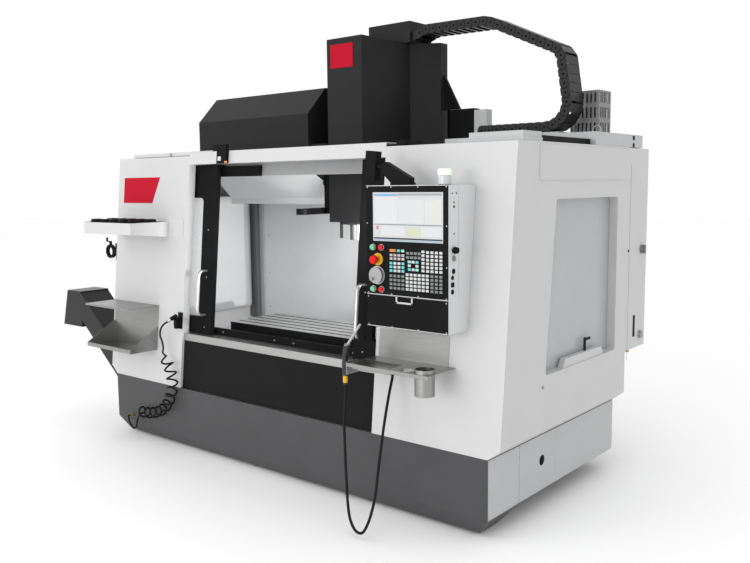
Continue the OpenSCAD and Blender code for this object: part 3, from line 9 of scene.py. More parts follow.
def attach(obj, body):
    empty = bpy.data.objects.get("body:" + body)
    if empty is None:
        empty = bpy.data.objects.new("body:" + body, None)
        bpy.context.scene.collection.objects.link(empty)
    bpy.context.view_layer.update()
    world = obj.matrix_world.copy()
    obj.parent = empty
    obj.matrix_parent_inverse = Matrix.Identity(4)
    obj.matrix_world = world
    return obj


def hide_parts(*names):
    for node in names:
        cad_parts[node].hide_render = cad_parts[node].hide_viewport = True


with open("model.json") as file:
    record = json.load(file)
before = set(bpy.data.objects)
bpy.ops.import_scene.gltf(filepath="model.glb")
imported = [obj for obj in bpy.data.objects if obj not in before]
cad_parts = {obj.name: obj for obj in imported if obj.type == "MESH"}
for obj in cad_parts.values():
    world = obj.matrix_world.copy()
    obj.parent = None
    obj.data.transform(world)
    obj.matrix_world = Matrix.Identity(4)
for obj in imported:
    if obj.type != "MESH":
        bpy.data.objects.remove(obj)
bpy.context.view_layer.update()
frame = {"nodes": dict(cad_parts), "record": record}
scene = bpy.context.scene

# Lengths are millimetres in the drawing's frame: x from the enclosure's middle, y from the base's front,
# z from the floor. Points go to the row's frame, in metres, through at().
MM = 1000
MID_X, MID_Y = -320.5, 752.5
LEAN = math.radians(5.54)
LEAN_FOOT = 407


def at(x, y, z):
    """Point of the drawing in the row's frame."""
    return Vector(((x - MID_X) / MM, (y - MID_Y) / MM, z / MM))


def front_y(z):
    """Depth of the leaning front's face at a height."""
    return (z - LEAN_FOOT) * math.tan(LEAN)


def share(span, k, n):
    """The k-th of n equal steps along a span."""
    return span[0] + (span[1] - span[0]) * k / n


def round_steps(n):
    """Angles of n even steps round a circle."""
    return [2 * math.pi * k / n for k in range(n)]


# Camera, fitted to the photograph's straight edges
EYE = (3477.8, -3197.8, 1687.5)
CAM_RIGHT = (0.77150, 0.63614, -0.01058)
CAM_UP = (-0.06563, 0.09612, 0.99320)
CAM_BACK = (0.63283, -0.76556, 0.11591)
SENSOR_W, LENS, CLIP_END = 36, 39.57, 100

cam_data = bpy.data.cameras.new("camera")
cam_data.sensor_width = SENSOR_W
cam_data.lens = LENS
cam_data.clip_end = CLIP_END
cam = bpy.data.objects.new("camera", cam_data)
cam.matrix_world = Matrix([*zip(CAM_RIGHT, CAM_UP, CAM_BACK, at(*EYE)), (0, 0, 0, 1)])
scene.collection.objects.link(cam)
scene.camera = cam

# Materials
TONE_STOPS = (0.3, 0.7)
ROUGH_SWING, ROUGH_LEAST = 0.07, 0.02
BUMP_DEPTH = 0.001
TOP_FACES = (0.5, 0.8)
TONE_FADE = 0.003


def node(tree, kind, values=None, links=None):
    """Shader node with values on its sockets and other nodes' outputs linked to them."""
    n = tree.nodes.new("ShaderNode" + kind)
    for socket, value in (values or {}).items():
        n.inputs[socket].default_value = value
    for socket, source in (links or {}).items():
        tree.links.new(source, n.inputs[socket])
    return n


def side_shade_and_two_tone(tree, coords, tone, other, over):
    """The other tone on side faces as painted shade, or on all that is below the height over, in metres, as a second
    colour of the part.
    """
    source, low, high = ("Normal", *TOP_FACES) if over is None else ("Object", over - TONE_FADE, over + TONE_FADE)
    xyz = node(tree, "SeparateXYZ", links={"Vector": coords.outputs[source]})
    pick = node(tree, "MapRange", {"From Min": low, "From Max": high}, {"Value": xyz.outputs["Z"]})
    mix = node(tree, "MixRGB", {"Color1": (*other, 1)}, {"Fac": pick.outputs["Result"], "Color2": tone})
    return mix.outputs["Color"]


def make(
    name, color, rough=0.5, metal=0.0, var=0.04, scale=6.0, grain=400.0, bump=0.05, edge=0.0015,
    stretch=(1, 1, 1), spec=0.5, other=None, over=None,
):
    """Paint or metal with a broad drift of tone, a fine grain and softened edges."""
    m = bpy.data.materials.new(name)
    m.use_nodes = True
    tree = m.node_tree
    shader = tree.nodes["Principled BSDF"]
    shader.inputs["Metallic"].default_value = metal
    shader.inputs["Specular IOR Level"].default_value = spec
    coords = node(tree, "TexCoord")
    place = node(tree, "Mapping", {"Scale": stretch}, {"Vector": coords.outputs["Object"]}).outputs["Vector"]

    broad = node(tree, "TexNoise", {"Scale": scale, "Detail": 4}, {"Vector": place})
    ramp = node(tree, "ValToRGB", links={"Fac": broad.outputs["Fac"]})
    for stop, where, share in zip(ramp.color_ramp.elements, TONE_STOPS, (1 - var, 1 + var)):
        stop.position = where
        stop.color = [min(1, c * share) for c in color] + [1]
    tone = ramp.outputs["Color"]
    if other:
        tone = side_shade_and_two_tone(tree, coords, tone, other, over)
    tree.links.new(tone, shader.inputs["Base Color"])

    fine = node(tree, "TexNoise", {"Scale": grain, "Detail": 3}, {"Vector": place}).outputs["Fac"]
    smoothest = max(ROUGH_LEAST, rough - ROUGH_SWING)
    gloss = node(tree, "MapRange", {"To Min": smoothest, "To Max": rough + ROUGH_SWING}, {"Value": fine})
    tree.links.new(gloss.outputs["Result"], shader.inputs["Roughness"])
    relief = node(tree, "Bump", {"Strength": bump, "Distance": BUMP_DEPTH}, {"Height": fine})
    if edge:
        soft = node(tree, "Bevel", {"Radius": edge})
        soft.samples = 4
        tree.links.new(soft.outputs["Normal"], relief.inputs["Normal"])
    tree.links.new(relief.outputs["Normal"], shader.inputs["Normal"])
    return m


def clear(name, tint, alpha):
    m = make(name, tint, rough=0.06, var=0.02, bump=0.0, edge=0)
    m.node_tree.nodes["Principled BSDF"].inputs["Alpha"].default_value = alpha
    return m


def glow(name, color, strength):
    m = make(name, color, rough=0.6, var=0.02, edge=0, spec=0.1)
    shader = m.node_tree.nodes["Principled BSDF"]
    shader.inputs["Emission Color"].default_value = (*color, 1)
    shader.inputs["Emission Strength"].default_value = strength
    return m


def key_plastic(name, color, rough=0.45):
    return make(name, color, rough=rough, var=0.05, grain=900, edge=0)


# Paint
WHITE = make("panel_white", (0.53, 0.53, 0.535), rough=0.45, var=0.012, grain=900, bump=0.02, spec=0.4)
INNER = make("liner_white", (0.74, 0.745, 0.75), rough=0.4, var=0.02, grain=700, bump=0.02)
LIGHT = make("light_grey", (0.44, 0.445, 0.45), rough=0.45, var=0.02, grain=900, bump=0.02)
PENDANT_GREY = make("pendant_grey", (0.62, 0.625, 0.63), rough=0.45, var=0.015, grain=1200, bump=0.03, edge=0.002)
BASE = make("base_grey", (0.060, 0.059, 0.062), rough=0.45, var=0.05, grain=900, bump=0.04, spec=0.25)
DARK_GREY_BLOCK = make("dark_block_grey", (0.12, 0.12, 0.122), rough=0.45, var=0.04, grain=700)
# Grey of painted shade, for surfaces that lie in shade
PAINTED_SHADE = make("painted_shade_grey", (0.26, 0.262, 0.265), rough=0.5, var=0.03, grain=700, edge=0)
# Dark grey of painted shade in a seam
SEAM_SHADE = make("seam_shade_grey", (0.2, 0.2, 0.2), rough=0.6, var=0.03, edge=0)
CHARCOAL = make("charcoal", (0.0065, 0.0065, 0.007), rough=0.50, var=0.12, grain=1200, bump=0.08, spec=0.05)
HOOD = make("hood_black", (0.017, 0.017, 0.018), rough=0.45, var=0.08, grain=1200, bump=0.05, spec=0.12)
APRON = make("apron_black", (0.0085, 0.0085, 0.009), rough=0.42, var=0.1, grain=1200, bump=0.05, spec=0.07)
CONVEYOR = make("conveyor_black", (0.012, 0.012, 0.013), rough=0.3, var=0.1, grain=700, bump=0.03, spec=0.22)
BADGE = make("red_badge", (0.44, 0.004, 0.020), rough=0.4, var=0.04, grain=700, bump=0.01, spec=0.06)

# Metal
STEEL = make(
    "stainless", (0.30, 0.30, 0.295), rough=0.34, metal=1.0, var=0.06, scale=12, grain=260, bump=0.03,
    stretch=(1, 14, 14),
)
SILL = make(
    "sill_steel", (0.40, 0.40, 0.395), rough=0.40, metal=1.0, var=0.05, scale=8, grain=200, bump=0.015,
    stretch=(1, 18, 18),
)
# Steel on top, near-black on the side faces: painted shade on the table's sides
TABLE = make(
    "table_steel", (0.50, 0.50, 0.50), rough=0.38, metal=0.4, var=0.06, scale=20, grain=300, bump=0.03,
    stretch=(1, 12, 12), other=(0.012, 0.012, 0.013),
)
GUN = make(
    "gun_body", (0.45, 0.45, 0.44), rough=0.34, metal=0.5, var=0.04, grain=600, bump=0.03,
    other=(0.030, 0.030, 0.031), over=0.894,
)
IRON = make("cast_iron", (0.020, 0.020, 0.021), rough=0.5, var=0.12, scale=20, grain=500, bump=0.1, spec=0.2)
SILVER = make("silver", (0.52, 0.52, 0.51), rough=0.34, metal=1.0, var=0.03, grain=500, bump=0.015)
WHEEL = make("wheel_grey", (0.34, 0.34, 0.345), rough=0.38, metal=0.7, var=0.04, grain=600, bump=0.03)
BRASS = make("brass", (0.55, 0.38, 0.13), rough=0.3, metal=1.0, var=0.06, grain=400, bump=0.03)
RESISTOR = make("resistor_steel", (0.22, 0.22, 0.22), rough=0.4, metal=0.3, var=0.08, grain=600, bump=0.04)
RESISTOR_CORE = make("resistor_core", (0.05, 0.05, 0.05), rough=0.6, var=0.1, grain=500, bump=0.05)

# Plastic, rubber and panes
PLASTIC = make(
    "black_plastic", (0.0065, 0.0065, 0.007), rough=0.45, var=0.1, grain=1500, bump=0.06, edge=0.001, spec=0.06
)
CHAIN = make("chain_plastic", (0.010, 0.010, 0.0105), rough=0.38, var=0.12, grain=1200, bump=0.06, spec=0.22)
# Near-black of the chain's pins, and painted shade along the laps of its links
CHAIN_LAP_SHADE = make("chain_lap_shade", (0.002, 0.002, 0.002), rough=0.6, var=0.1, grain=900, bump=0.04, spec=0.03)
RUBBER = make("rubber", (0.0065, 0.0065, 0.007), rough=0.5, var=0.1, grain=900, bump=0.1, edge=0, spec=0.15)
GREEN = make("green_plastic", (0.16, 0.48, 0.28), rough=0.3, var=0.04, grain=500, bump=0.03, spec=0.3)
RED = make("red_plastic", (0.58, 0.014, 0.012), rough=0.35, var=0.04, grain=500, bump=0.03, spec=0.15)
YELLOW = make("yellow_plastic", (0.66, 0.40, 0.01), rough=0.35, var=0.03, grain=500, bump=0.03, spec=0.35)
KEY_WHITE = key_plastic("key_white", (0.50, 0.505, 0.51))
KEY_GREY = key_plastic("key_grey", (0.16, 0.17, 0.17), rough=0.5)
KEY_CYAN = key_plastic("key_cyan", (0.10, 0.48, 0.50))
KEY_MINT = key_plastic("key_mint", (0.25, 0.60, 0.45))
KEY_ORANGE = key_plastic("key_orange", (0.75, 0.20, 0.02))
KEY_ROSE = key_plastic("key_rose", (0.42, 0.36, 0.37))
PANE = clear("clear_pane", (0.86, 0.88, 0.88), alpha=0.12)
SIDE_PANE = clear("side_pane", (0.62, 0.63, 0.64), alpha=0.45)
BEACON_BODY = make("beacon_body", (0.52, 0.55, 0.55), rough=0.2, var=0.02, edge=0)
BEACON_GLOW = glow("beacon_glow", (0.66, 0.82, 0.60), 0.45)

SLOTS = {
    "panel_white": WHITE, "base_grey": BASE, "light_grey": LIGHT, "charcoal": CHARCOAL, "black_plastic": PLASTIC,
    "stainless": STEEL, "cast_iron": IRON, "silver": SILVER, "brass": BRASS, "clear_pane": PANE, "rubber": RUBBER,
    "green": GREEN, "red": RED,
}
OWN = {
    "inner_liner": INNER, "toolchanger_shroud": INNER, "z_way_cover": INNER, "front_apron": APRON, "table": TABLE,
    "pendant_housing": PENDANT_GREY, "side_windows": SIDE_PANE, "sill_rail": SILL, "jog_wheel": WHEEL,
    "wash_gun": GUN, "chip_conveyor": CONVEYOR, "main_switch": STEEL, "tool_arm": PLASTIC, "head_cover": HOOD,
    "toolchanger_hood": HOOD, "cable_chain": CHAIN, "brake_resistor": RESISTOR, "spindle": STEEL,
}
for part in frame["record"]["subparts"]:
    cad = frame["nodes"][part["node"]]
    cad.data.materials.clear()
    cad.data.materials.append(OWN.get(part["node"], SLOTS[part["material_slot"]]))

# Building helpers
ROUNDED = {"segments": 2, "affect": "EDGES", "profile": 0.6}


def piece(name, mat, bm, body="machine"):
    """Visible piece made from a bmesh, riding on a body."""
    bmesh.ops.recalc_face_normals(bm, faces=bm.faces)
    me = bpy.data.meshes.new(name)
    bm.to_mesh(me)
    bm.free()
    me.materials.append(mat)
    o = bpy.data.objects.new(name, me)
    scene.collection.objects.link(o)
    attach(o, body)


def add_box(bm, lo, hi, bevel=0.0, lean=False):
    """Box between two corners; a leaning one follows the front panels."""
    verts = bmesh.ops.create_cube(bm, size=1)["verts"]
    for v in verts:
        x, y, z = (a + (c + 0.5) * (b - a) for a, b, c in zip(lo, hi, v.co))
        v.co = at(x, y + front_y(z) if lean else y, z)
    if bevel:
        edges = list({e for v in verts for e in v.link_edges})
        bmesh.ops.bevel(bm, geom=edges, offset=bevel / MM, **ROUNDED)


def add_cyl(bm, p, q, r0, r1=None, seg=20, rim=0.0):
    """Cylinder from p to q, or a cone where a second radius is given, with rounded rims."""
    a, b = at(*p), at(*q)
    axis = b - a
    turn = axis.to_track_quat("Z", "Y").to_matrix().to_4x4()
    verts = bmesh.ops.create_cone(
        bm, cap_ends=True, segments=seg, radius1=r0 / MM, radius2=(r1 or r0) / MM, depth=axis.length,
        matrix=Matrix.Translation((a + b) / 2) @ turn,
    )["verts"]
    if rim:
        edges = {e for v in verts for e in v.link_edges}
        rims = [e for e in edges if sum(len(f.verts) > 4 for f in e.link_faces) == 1]
        bmesh.ops.bevel(bm, geom=rims, offset=rim / MM, **ROUNDED)


def add_loft(bm, rings, loop=False):
    """Skin over rings of points, joined end to end or capped at both ends."""
    rings = [[bm.verts.new(at(*p)) for p in ring] for ring in rings]
    pairs = list(zip(rings, rings[1:]))
    if loop:
        pairs.append((rings[-1], rings[0]))
    else:
        bm.faces.new(rings[0][::-1])
        bm.faces.new(rings[-1])
    for p, q in pairs:
        for k in range(len(p)):
            n = (k + 1) % len(p)
            bm.faces.new((p[k], p[n], q[n], q[k]))


def boxes(name, mat, corners, body="machine", bevel=1.0, lean=False):
    bm = bmesh.new()
    for lo, hi in corners:
        add_box(bm, lo, hi, bevel, lean)
    piece(name, mat, bm, body)


def cyls(name, mat, rods, body="machine", seg=20, rim=0.6):
    """Rods given as two ends and one or two radii."""
    bm = bmesh.new()
    for rod in rods:
        add_cyl(bm, *rod, seg=seg, rim=rim)
    piece(name, mat, bm, body)


def plate(name, mat, outline, y0, y1, face=front_y, bevel=0.8):
    """Outline in x and z, from depth y0 to y1 behind a face."""
    bm = bmesh.new()
    add_loft(bm, [[(x, face(z) + y, z) for x, z in outline] for y in (y0, y1)])
    bmesh.ops.recalc_face_normals(bm, faces=bm.faces)
    bmesh.ops.bevel(bm, geom=list(bm.edges), offset=bevel / MM, **ROUNDED)
    piece(name, mat, bm)


def tube(name, mat, pts, r):
    """Round tube along a list of points."""
    cu = bpy.data.curves.new(name, "CURVE")
    cu.dimensions = "3D"
    cu.bevel_depth = r / MM
    cu.bevel_resolution = 3
    cu.use_fill_caps = True
    sp = cu.splines.new("POLY")
    sp.points.add(len(pts) - 1)
    for pt, p in zip(sp.points, pts):
        pt.co = (*at(*p), 1)
    sp.use_smooth = True
    cu.materials.append(mat)
    o = bpy.data.objects.new(name, cu)
    scene.collection.objects.link(o)
    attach(o, "machine")
    return o


# Hoses
def smooth_path(pts, n):
    """Smooth curve through the points, n steps to a span."""
    pts = [Vector(p) for p in pts]
    out = []
    for i in range(len(pts) - 1):
        p, q, r, s = pts[max(i - 1, 0)], pts[i], pts[i + 1], pts[min(i + 2, len(pts) - 1)]
        for t in (k / n for k in range(n)):
            bend = t * t * (p - 2.5 * q + 2 * r - s / 2) + t**3 * (1.5 * (q - r) + (s - p) / 2)
            out.append(q + t * (r - p) / 2 + bend)
    out.append(pts[-1])
    return out


AIR_R = 6
LEAD_IN = [
    (-872, -26, 834), (-905, -34, 812), (-928, -40, 780), (-932, -43, 740), (-912, -43, 700), (-905, -43, 660),
    (-914, -43, 630),
]
COIL = [
    (-900, -43, 612), (-876, -43, 584), (-842, -43, 530), (-824, -43, 466), (-836, -43, 384),
    (-880, -43, 304), (-950, -43, 244), (-1040, -43, 212), (-1120, -43, 200), (-1200, -43, 196),
]
LEAD_OUT = [
    (-1226, -43, 130), (-1240, -43, 84), (-1270, -44, 64), (-1304, -44, 84), (-1328, -42, 118), (-1340, -34, 138),
    (-1340, -26, 138),
]
COIL_R = 32.0
COIL_STEPS = 20
LOOSE_PITCH, TIGHT_PITCH = 61.0, 62.0
LOOSE_END, TIGHT_START = 360.0, 450.0
EASE_LEAST, EASE_IN, EASE_OUT = 0.15, 40, 15


def coil_turns(line):
    """Turns of the coil round its middle line, drawn in at both ends."""
    walk = [0.0]
    for a, b in zip(line, line[1:]):
        walk.append(walk[-1] + (b - a).length)
    across = Vector((0, 1, 0))
    turns = []
    angle, done, k = 0.0, 0.0, 0
    while done < walk[-1]:
        while k < len(line) - 2 and walk[k + 1] < done:
            k += 1
        middle = line[k].lerp(line[k + 1], (done - walk[k]) / (walk[k + 1] - walk[k]))
        side = (line[k + 1] - line[k]).normalized().cross(across).normalized()
        rad = COIL_R * min(1.0, EASE_LEAST + done / EASE_IN, EASE_LEAST + (walk[-1] - done) / EASE_OUT)
        turns.append(middle + rad * (math.cos(angle) * across + math.sin(angle) * side))
        tight = min(1.0, max(0.0, (done - LOOSE_END) / (TIGHT_START - LOOSE_END)))
        angle += 2 * math.pi / COIL_STEPS
        done += (LOOSE_PITCH + (TIGHT_PITCH - LOOSE_PITCH) * tight) / COIL_STEPS
    return turns


air_pts = smooth_path(LEAD_IN, 8) + coil_turns(smooth_path(COIL, 40))[1:-1] + smooth_path(LEAD_OUT, 8)
air = tube("air_hose", RUBBER, air_pts, AIR_R)
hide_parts("air_hose_lead", "air_hose_coil")

WASH_R = 7
WASH = [
    (760, -153, 690), (762, -156, 640), (772, -172, 580), (790, -200, 500), (818, -230, 420),
    (846, -258, 330), (874, -284, 240), (900, -306, 150), (930, -324, 80), (970, -332, 36),
    (1010, -330, 34), (1036, -322, 76), (1050, -304, 140), (1054, -280, 220), (1044, -244, 330),
    (1026, -196, 440), (1006, -140, 560), (988, -86, 660), (978, -48, 730), (975, -34, 775),
]
wash_pts = smooth_path(WASH, 10)
wash = tube("wash_hose_tube", RUBBER, wash_pts, WASH_R)
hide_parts("wash_hose")

# Pendant: keys in blocks, on the console's front face
FACE = -110
PENDANT_X0, PENDANT_X1 = 875, 1357
KEY_W, KEY_H, KEY_PROUD, KEY_SUNK = 17, 12.5, 3.2, 0.1
WIDE_KEY, MINT_KEY = 36, 19


def grid(x0, x1, cols, z0, z1, rows):
    """Centres of a block of keys, row by row from its top left."""
    return [
        (share((x0, x1), i, max(cols - 1, 1)), share((z0, z1), k, max(rows - 1, 1)))
        for k in range(rows)
        for i in range(cols)
    ]


def caps(name, mat, centres, w=KEY_W):
    corners = [
        ((x - w / 2, FACE - KEY_PROUD, z - KEY_H / 2), (x + w / 2, FACE - KEY_SUNK, z + KEY_H / 2))
        for x, z in centres
    ]
    boxes(name, mat, corners, "pendant", bevel=1.4)


mode_keys = grid(1028, 1100, 4, 1316, 1280, 3)
jog_keys = grid(1138, 1183, 3, 1327, 1291, 3)
caps("keys_orange", KEY_ORANGE, [(1038, 1377)], WIDE_KEY)
caps("keys_mint", KEY_MINT, [(1099, 1377)] + [jog_keys[i] for i in (0, 8)], MINT_KEY)
caps(
    "keys_cyan", KEY_CYAN,
    [(1073, 1377)] + [p for i, p in enumerate(mode_keys) if i % 4 in (0, 3)] + [jog_keys[i] for i in (2, 6)],
)
caps("keys_rose", KEY_ROSE, grid(1029, 1100, 4, 1355, 1338, 2))
caps(
    "keys_white", KEY_WHITE,
    [p for i, p in enumerate(mode_keys) if i % 4 in (1, 2)]
    + [jog_keys[i] for i in (1, 3, 5, 7)]
    + grid(1218, 1218, 1, 1378, 1289, 6)
    + grid(1244, 1319, 4, 1376, 1288, 6)
    + grid(1125, 1242, 6, 1266, 1196, 5),
)
caps(
    "keys_grey", KEY_GREY,
    grid(1027, 1099, 4, 1255, 1196, 4) + grid(1128, 1196, 4, 1368, 1348, 2) + grid(1269, 1319, 3, 1266, 1195, 5),
)

# Screen: a plain ground with fields of colour, placed by shares of its width and height
SCREEN_X, SCREEN_Z = (916, 1330), (1420, 1654)
SCREEN_FRONT, SCREEN_BACK, FIELD_LIFT = FACE + 1.2, FACE + 1.4, 0.25
SCREEN_DIM, SCREEN_GLOW = 0.62, 0.2
GROUND_TONE = (0.72, 0.73, 0.74)
FIELDS = [
    (0.02, 0.36, 0.925, 0.965, (0.25, 0.50, 0.75)),
    (0.37, 0.98, 0.93, 0.975, (0.45, 0.46, 0.47)),
    (0.02, 0.36, 0.37, 0.91, (0.80, 0.81, 0.82)),
    (0.37, 0.74, 0.37, 0.85, (0.78, 0.79, 0.80)),
    (0.75, 0.98, 0.37, 0.85, (0.80, 0.80, 0.77)),
    (0.02, 0.98, 0.335, 0.352, (0.30, 0.31, 0.32)),
    (0.05, 0.085, 0.24, 0.31, (0.75, 0.25, 0.35)),
    (0.50, 0.67, 0.12, 0.28, (0.74, 0.76, 0.55)),
    (0.70, 0.98, 0.12, 0.31, (0.80, 0.81, 0.82)),
    (0.12, 0.47, 0.12, 0.31, (0.79, 0.80, 0.81)),
    (0.01, 0.99, 0.045, 0.075, (0.08, 0.08, 0.09)),
    (0.01, 0.99, 0.015, 0.035, (0.35, 0.52, 0.65)),
]


def screen_box(name, u0, u1, v0, v1, tone, lift):
    (x0, x1), (z0, z1) = SCREEN_X, SCREEN_Z
    w, h = x1 - x0, z1 - z0
    lo = (x0 + w * u0, SCREEN_FRONT - lift, z0 + h * v0)
    hi = (x0 + w * u1, SCREEN_BACK, z0 + h * v1)
    mat = glow(name, [c * SCREEN_DIM for c in tone], SCREEN_GLOW)
    boxes(name, mat, [(lo, hi)], "pendant", bevel=0)


screen_box("screen_ground", 0.0, 1.0, 0.0, 1.0, GROUND_TONE, 0.0)
for k, (u0, u1, v0, v1, tone) in enumerate(FIELDS):
    screen_box("screen_field_%02d" % k, u0, u1, v0, v1, tone, FIELD_LIFT)

# Pendant: rings, screws, edges, ports and beacon
SCREW_COLS = (884, 1030, 1188, 1348)
BUTTONS = {"hi_a": (917, 1389), "hi_b": (968, 1389), "lo_a": (917, 1185), "lo_b": (968, 1185)}
EDGE_H, EDGE_PROUD, EDGE_DEPTH = 3, 0.8, 2
PORTS = [
    (-77, 1648, 4), (-42, 1648, 4), (-62, 1607, 4), (-62, 1587, 6), (-62, 1463, 4), (-65, 1291, 13),
    (-74, 1262, 11), (-74, 1196, 12),
]
SIDE_BACK = PENDANT_X1 - 1
KNOB_Y, KNOB_Z, SOCKET_Z = -65, 1388, 1350
BEACON_X, BEACON_Y = 1305, -62


def face_rods(spots, proud, r0, r1, y=FACE):
    """Round heads that stand proud of a front face."""
    return [((x, y, z), (x, y - proud, z), r0, r1) for x, z in spots]


def face_edge(name, z, body):
    lo = (PENDANT_X0, FACE - EDGE_PROUD, z)
    hi = (PENDANT_X1, FACE + EDGE_DEPTH, z + EDGE_H)
    boxes(name, PENDANT_GREY, [(lo, hi)], body, bevel=0.4)


def side_rod(y, z, r0, r1=None, reach=1.5, start=SIDE_BACK):
    """Round piece on the pendant's right side."""
    return (start, y, z), (PENDANT_X1 + reach, y, z), r0, r1


cyls("estop_ring", YELLOW, face_rods([(946, 1331)], 4.2, 31, 29), "pendant", seg=40, rim=0.8)
for key, spot in BUTTONS.items():
    cyls("button_collar_" + key, SILVER, face_rods([spot], 2.6, 16.5, 15.5), "pendant", seg=32)
cyls("jog_dial", SILVER, face_rods([(942, 1253)], 1.2, 45, 45, FACE - 0.4), "pendant", seg=48)
console_screws = [(x, z) for z in (1678, 1166) for x in SCREW_COLS] + [(881, 1505), (1350, 1500), (1350, 1310)]
flap_screws = [(x, z) for z in (1146, 1008) for x in (884, 1348)] + [(1030, 1006), (1188, 1006)]
for name, spots, body in (("console", console_screws, "pendant"), ("flap", flap_screws, "storage_door")):
    cyls(name + "_screws", SILVER, face_rods(spots, 1.8, 3.6, 3.0), body, seg=14, rim=0.4)
face_edge("console_edge_top", 1683.5, "pendant")
face_edge("console_edge_low", 1158, "pendant")
cyls("side_ports", PLASTIC, [side_rod(*port) for port in PORTS], "pendant", rim=0.4)
cyls("side_socket", STEEL, [side_rod(KNOB_Y, SOCKET_Z, 14, 13, 5)], "pendant", seg=28)
knob = [side_rod(KNOB_Y, KNOB_Z, 13, reach=8), side_rod(KNOB_Y, KNOB_Z, 17, 14, 24, PENDANT_X1 + 7)]
cyls("side_knob", PLASTIC, knob, "pendant", seg=24, rim=1.5)
square_port = [((SIDE_BACK, -86, 1218), (PENDANT_X1 + 3, -62, 1240))]
boxes("side_square_port", PLASTIC, square_port, "pendant", bevel=0.8)
cap = [((BEACON_X, BEACON_Y, 1729), (BEACON_X, BEACON_Y, 1759.5), 31, 30.4)]
cyls("beacon_cap", BEACON_GLOW, cap, "pendant", seg=40, rim=2)
stem = [((BEACON_X, BEACON_Y, 1689), (BEACON_X, BEACON_Y, 1728), 30.4)]
cyls("beacon_body", BEACON_BODY, stem, "pendant", seg=40, rim=1)

# Storage flap: handle and lower edge
GRIP_X, GRIP_Z, GRIP_T = (1065.4, 1166.6), 1124.4, 9.2
GRIP_FRONT, GRIP_TOP = FACE - 16.6, 1156
grip = [((GRIP_X[0], GRIP_FRONT, GRIP_Z), (GRIP_X[1], GRIP_FRONT + GRIP_T, GRIP_Z + GRIP_T))]
grip += [((x, GRIP_FRONT, GRIP_Z), (x + GRIP_T, FACE, GRIP_TOP)) for x in (GRIP_X[0], GRIP_X[1] - GRIP_T)]
boxes("flap_handle", SILVER, grip, "storage_door")
face_edge("flap_edge", 1000.4, "storage_door")

# Badge plates, plain
BADGE_OUTLINE = [(-1503, 1585), (-1178, 1585), (-1104, 1755), (-1503, 1755)]
plate("left_badge", BADGE, BADGE_OUTLINE, -2.4, -0.1)
boxes("head_badge", BADGE, [((-112, 727.4, 2418), (74, 729.9, 2562))], "head", bevel=0.8)

# Tool tray: dark insert with its holes, and a collar round each hole
INSERT_X, INSERT_Y, INSERT_Z = (-1499, -993), (-188, 72), (1466, 1467.6)
HOLE_COLS, HOLE_ROWS, HOLE_R, HOLE_STEPS = 5, 2, 27, 32
HOLE_X0, HOLE_Y0, HOLE_DX, HOLE_DY = -1507, -196, 104.4, 120
COLLAR = ((28, 1467), (41, 1467), (38, 1484), (28, 1486))
COLLAR_STEPS = 28
LEAST_STEP = 1e-9
holes = {
    (i, k): (HOLE_X0 + (i + 0.5) * HOLE_DX, HOLE_Y0 + (k + 0.55) * HOLE_DY)
    for i in range(HOLE_COLS)
    for k in range(HOLE_ROWS)
}


def split(span, k, n):
    """Limits of the k-th of n equal parts of a span."""
    return share(span, k, n), share(span, k + 1, n)


def ray_length(limits, middle, step):
    """Distance along a ray to the limit that it meets, where step is the ray's share in that direction."""
    if abs(step) < LEAST_STEP:
        return math.inf
    return (limits[step > 0] - middle) / step


bm = bmesh.new()
for (i, k), (cx, cy) in holes.items():
    cell_x, cell_y = split(INSERT_X, i, HOLE_COLS), split(INSERT_Y, k, HOLE_ROWS)
    corners = [math.atan2(y - cy, x - cx) for x in cell_x for y in cell_y]
    angles = sorted({round(a % (2 * math.pi), 5) for a in round_steps(HOLE_STEPS) + corners})
    rays = [(math.cos(a), math.sin(a)) for a in angles]
    rim = [(cx + HOLE_R * dx, cy + HOLE_R * dy) for dx, dy in rays]
    far = [min(ray_length(cell_x, cx, dx), ray_length(cell_y, cy, dy)) for dx, dy in rays]
    edge = [(cx + f * dx, cy + f * dy) for f, (dx, dy) in zip(far, rays)]
    low, top = INSERT_Z
    rings = ((rim, top), (edge, top), (edge, low), (rim, low))
    add_loft(bm, [[(x, y, z) for x, y in ring] for ring, z in rings], loop=True)
piece("tray_insert", PLASTIC, bm)

bm = bmesh.new()
for cx, cy in holes.values():
    rings = [[(cx + r * math.cos(a), cy + r * math.sin(a), z) for a in round_steps(COLLAR_STEPS)] for r, z in COLLAR]
    add_loft(bm, rings, loop=True)
piece("tray_collars", PLASTIC, bm)

# Cable chain: pins, and strips of painted shade along the lap edges, on the path of its links
CHAIN_RUNS = ((2, 0), (1, -18.3), (7, 0), (2, -12), (8, 0), (2, -28.2), (4, 0), (4, -22), (1, -10.8), (7, 0))
CHAIN_START, CHAIN_START_DEG, CHAIN_SIDES = (211, 2636.5), 17.5, (1165, 1321)
LINK_PITCH, LINK_R, PIN_R, PIN_PROUD = 53, 30, 6.5, 0.8
LAP_W, LAP_PROUD, LAP_DEG, LAP_STEPS = 3, 0.4, 80, 10


def lap_shade_strip(x, y, z, deg):
    """Rings of a strip along the round end of a link's side plate: painted shade at the lap."""
    near, far = y - LAP_PROUD, y + LAP_PROUD
    section = [(LINK_R - LAP_W, near), (LINK_R, near), (LINK_R, far), (LINK_R - LAP_W, far)]
    angles = [math.radians(deg + LAP_DEG * (2 * k / LAP_STEPS - 1)) for k in range(LAP_STEPS + 1)]
    return [[(x + r * math.cos(a), depth, z + r * math.sin(a)) for r, depth in section] for a in angles]


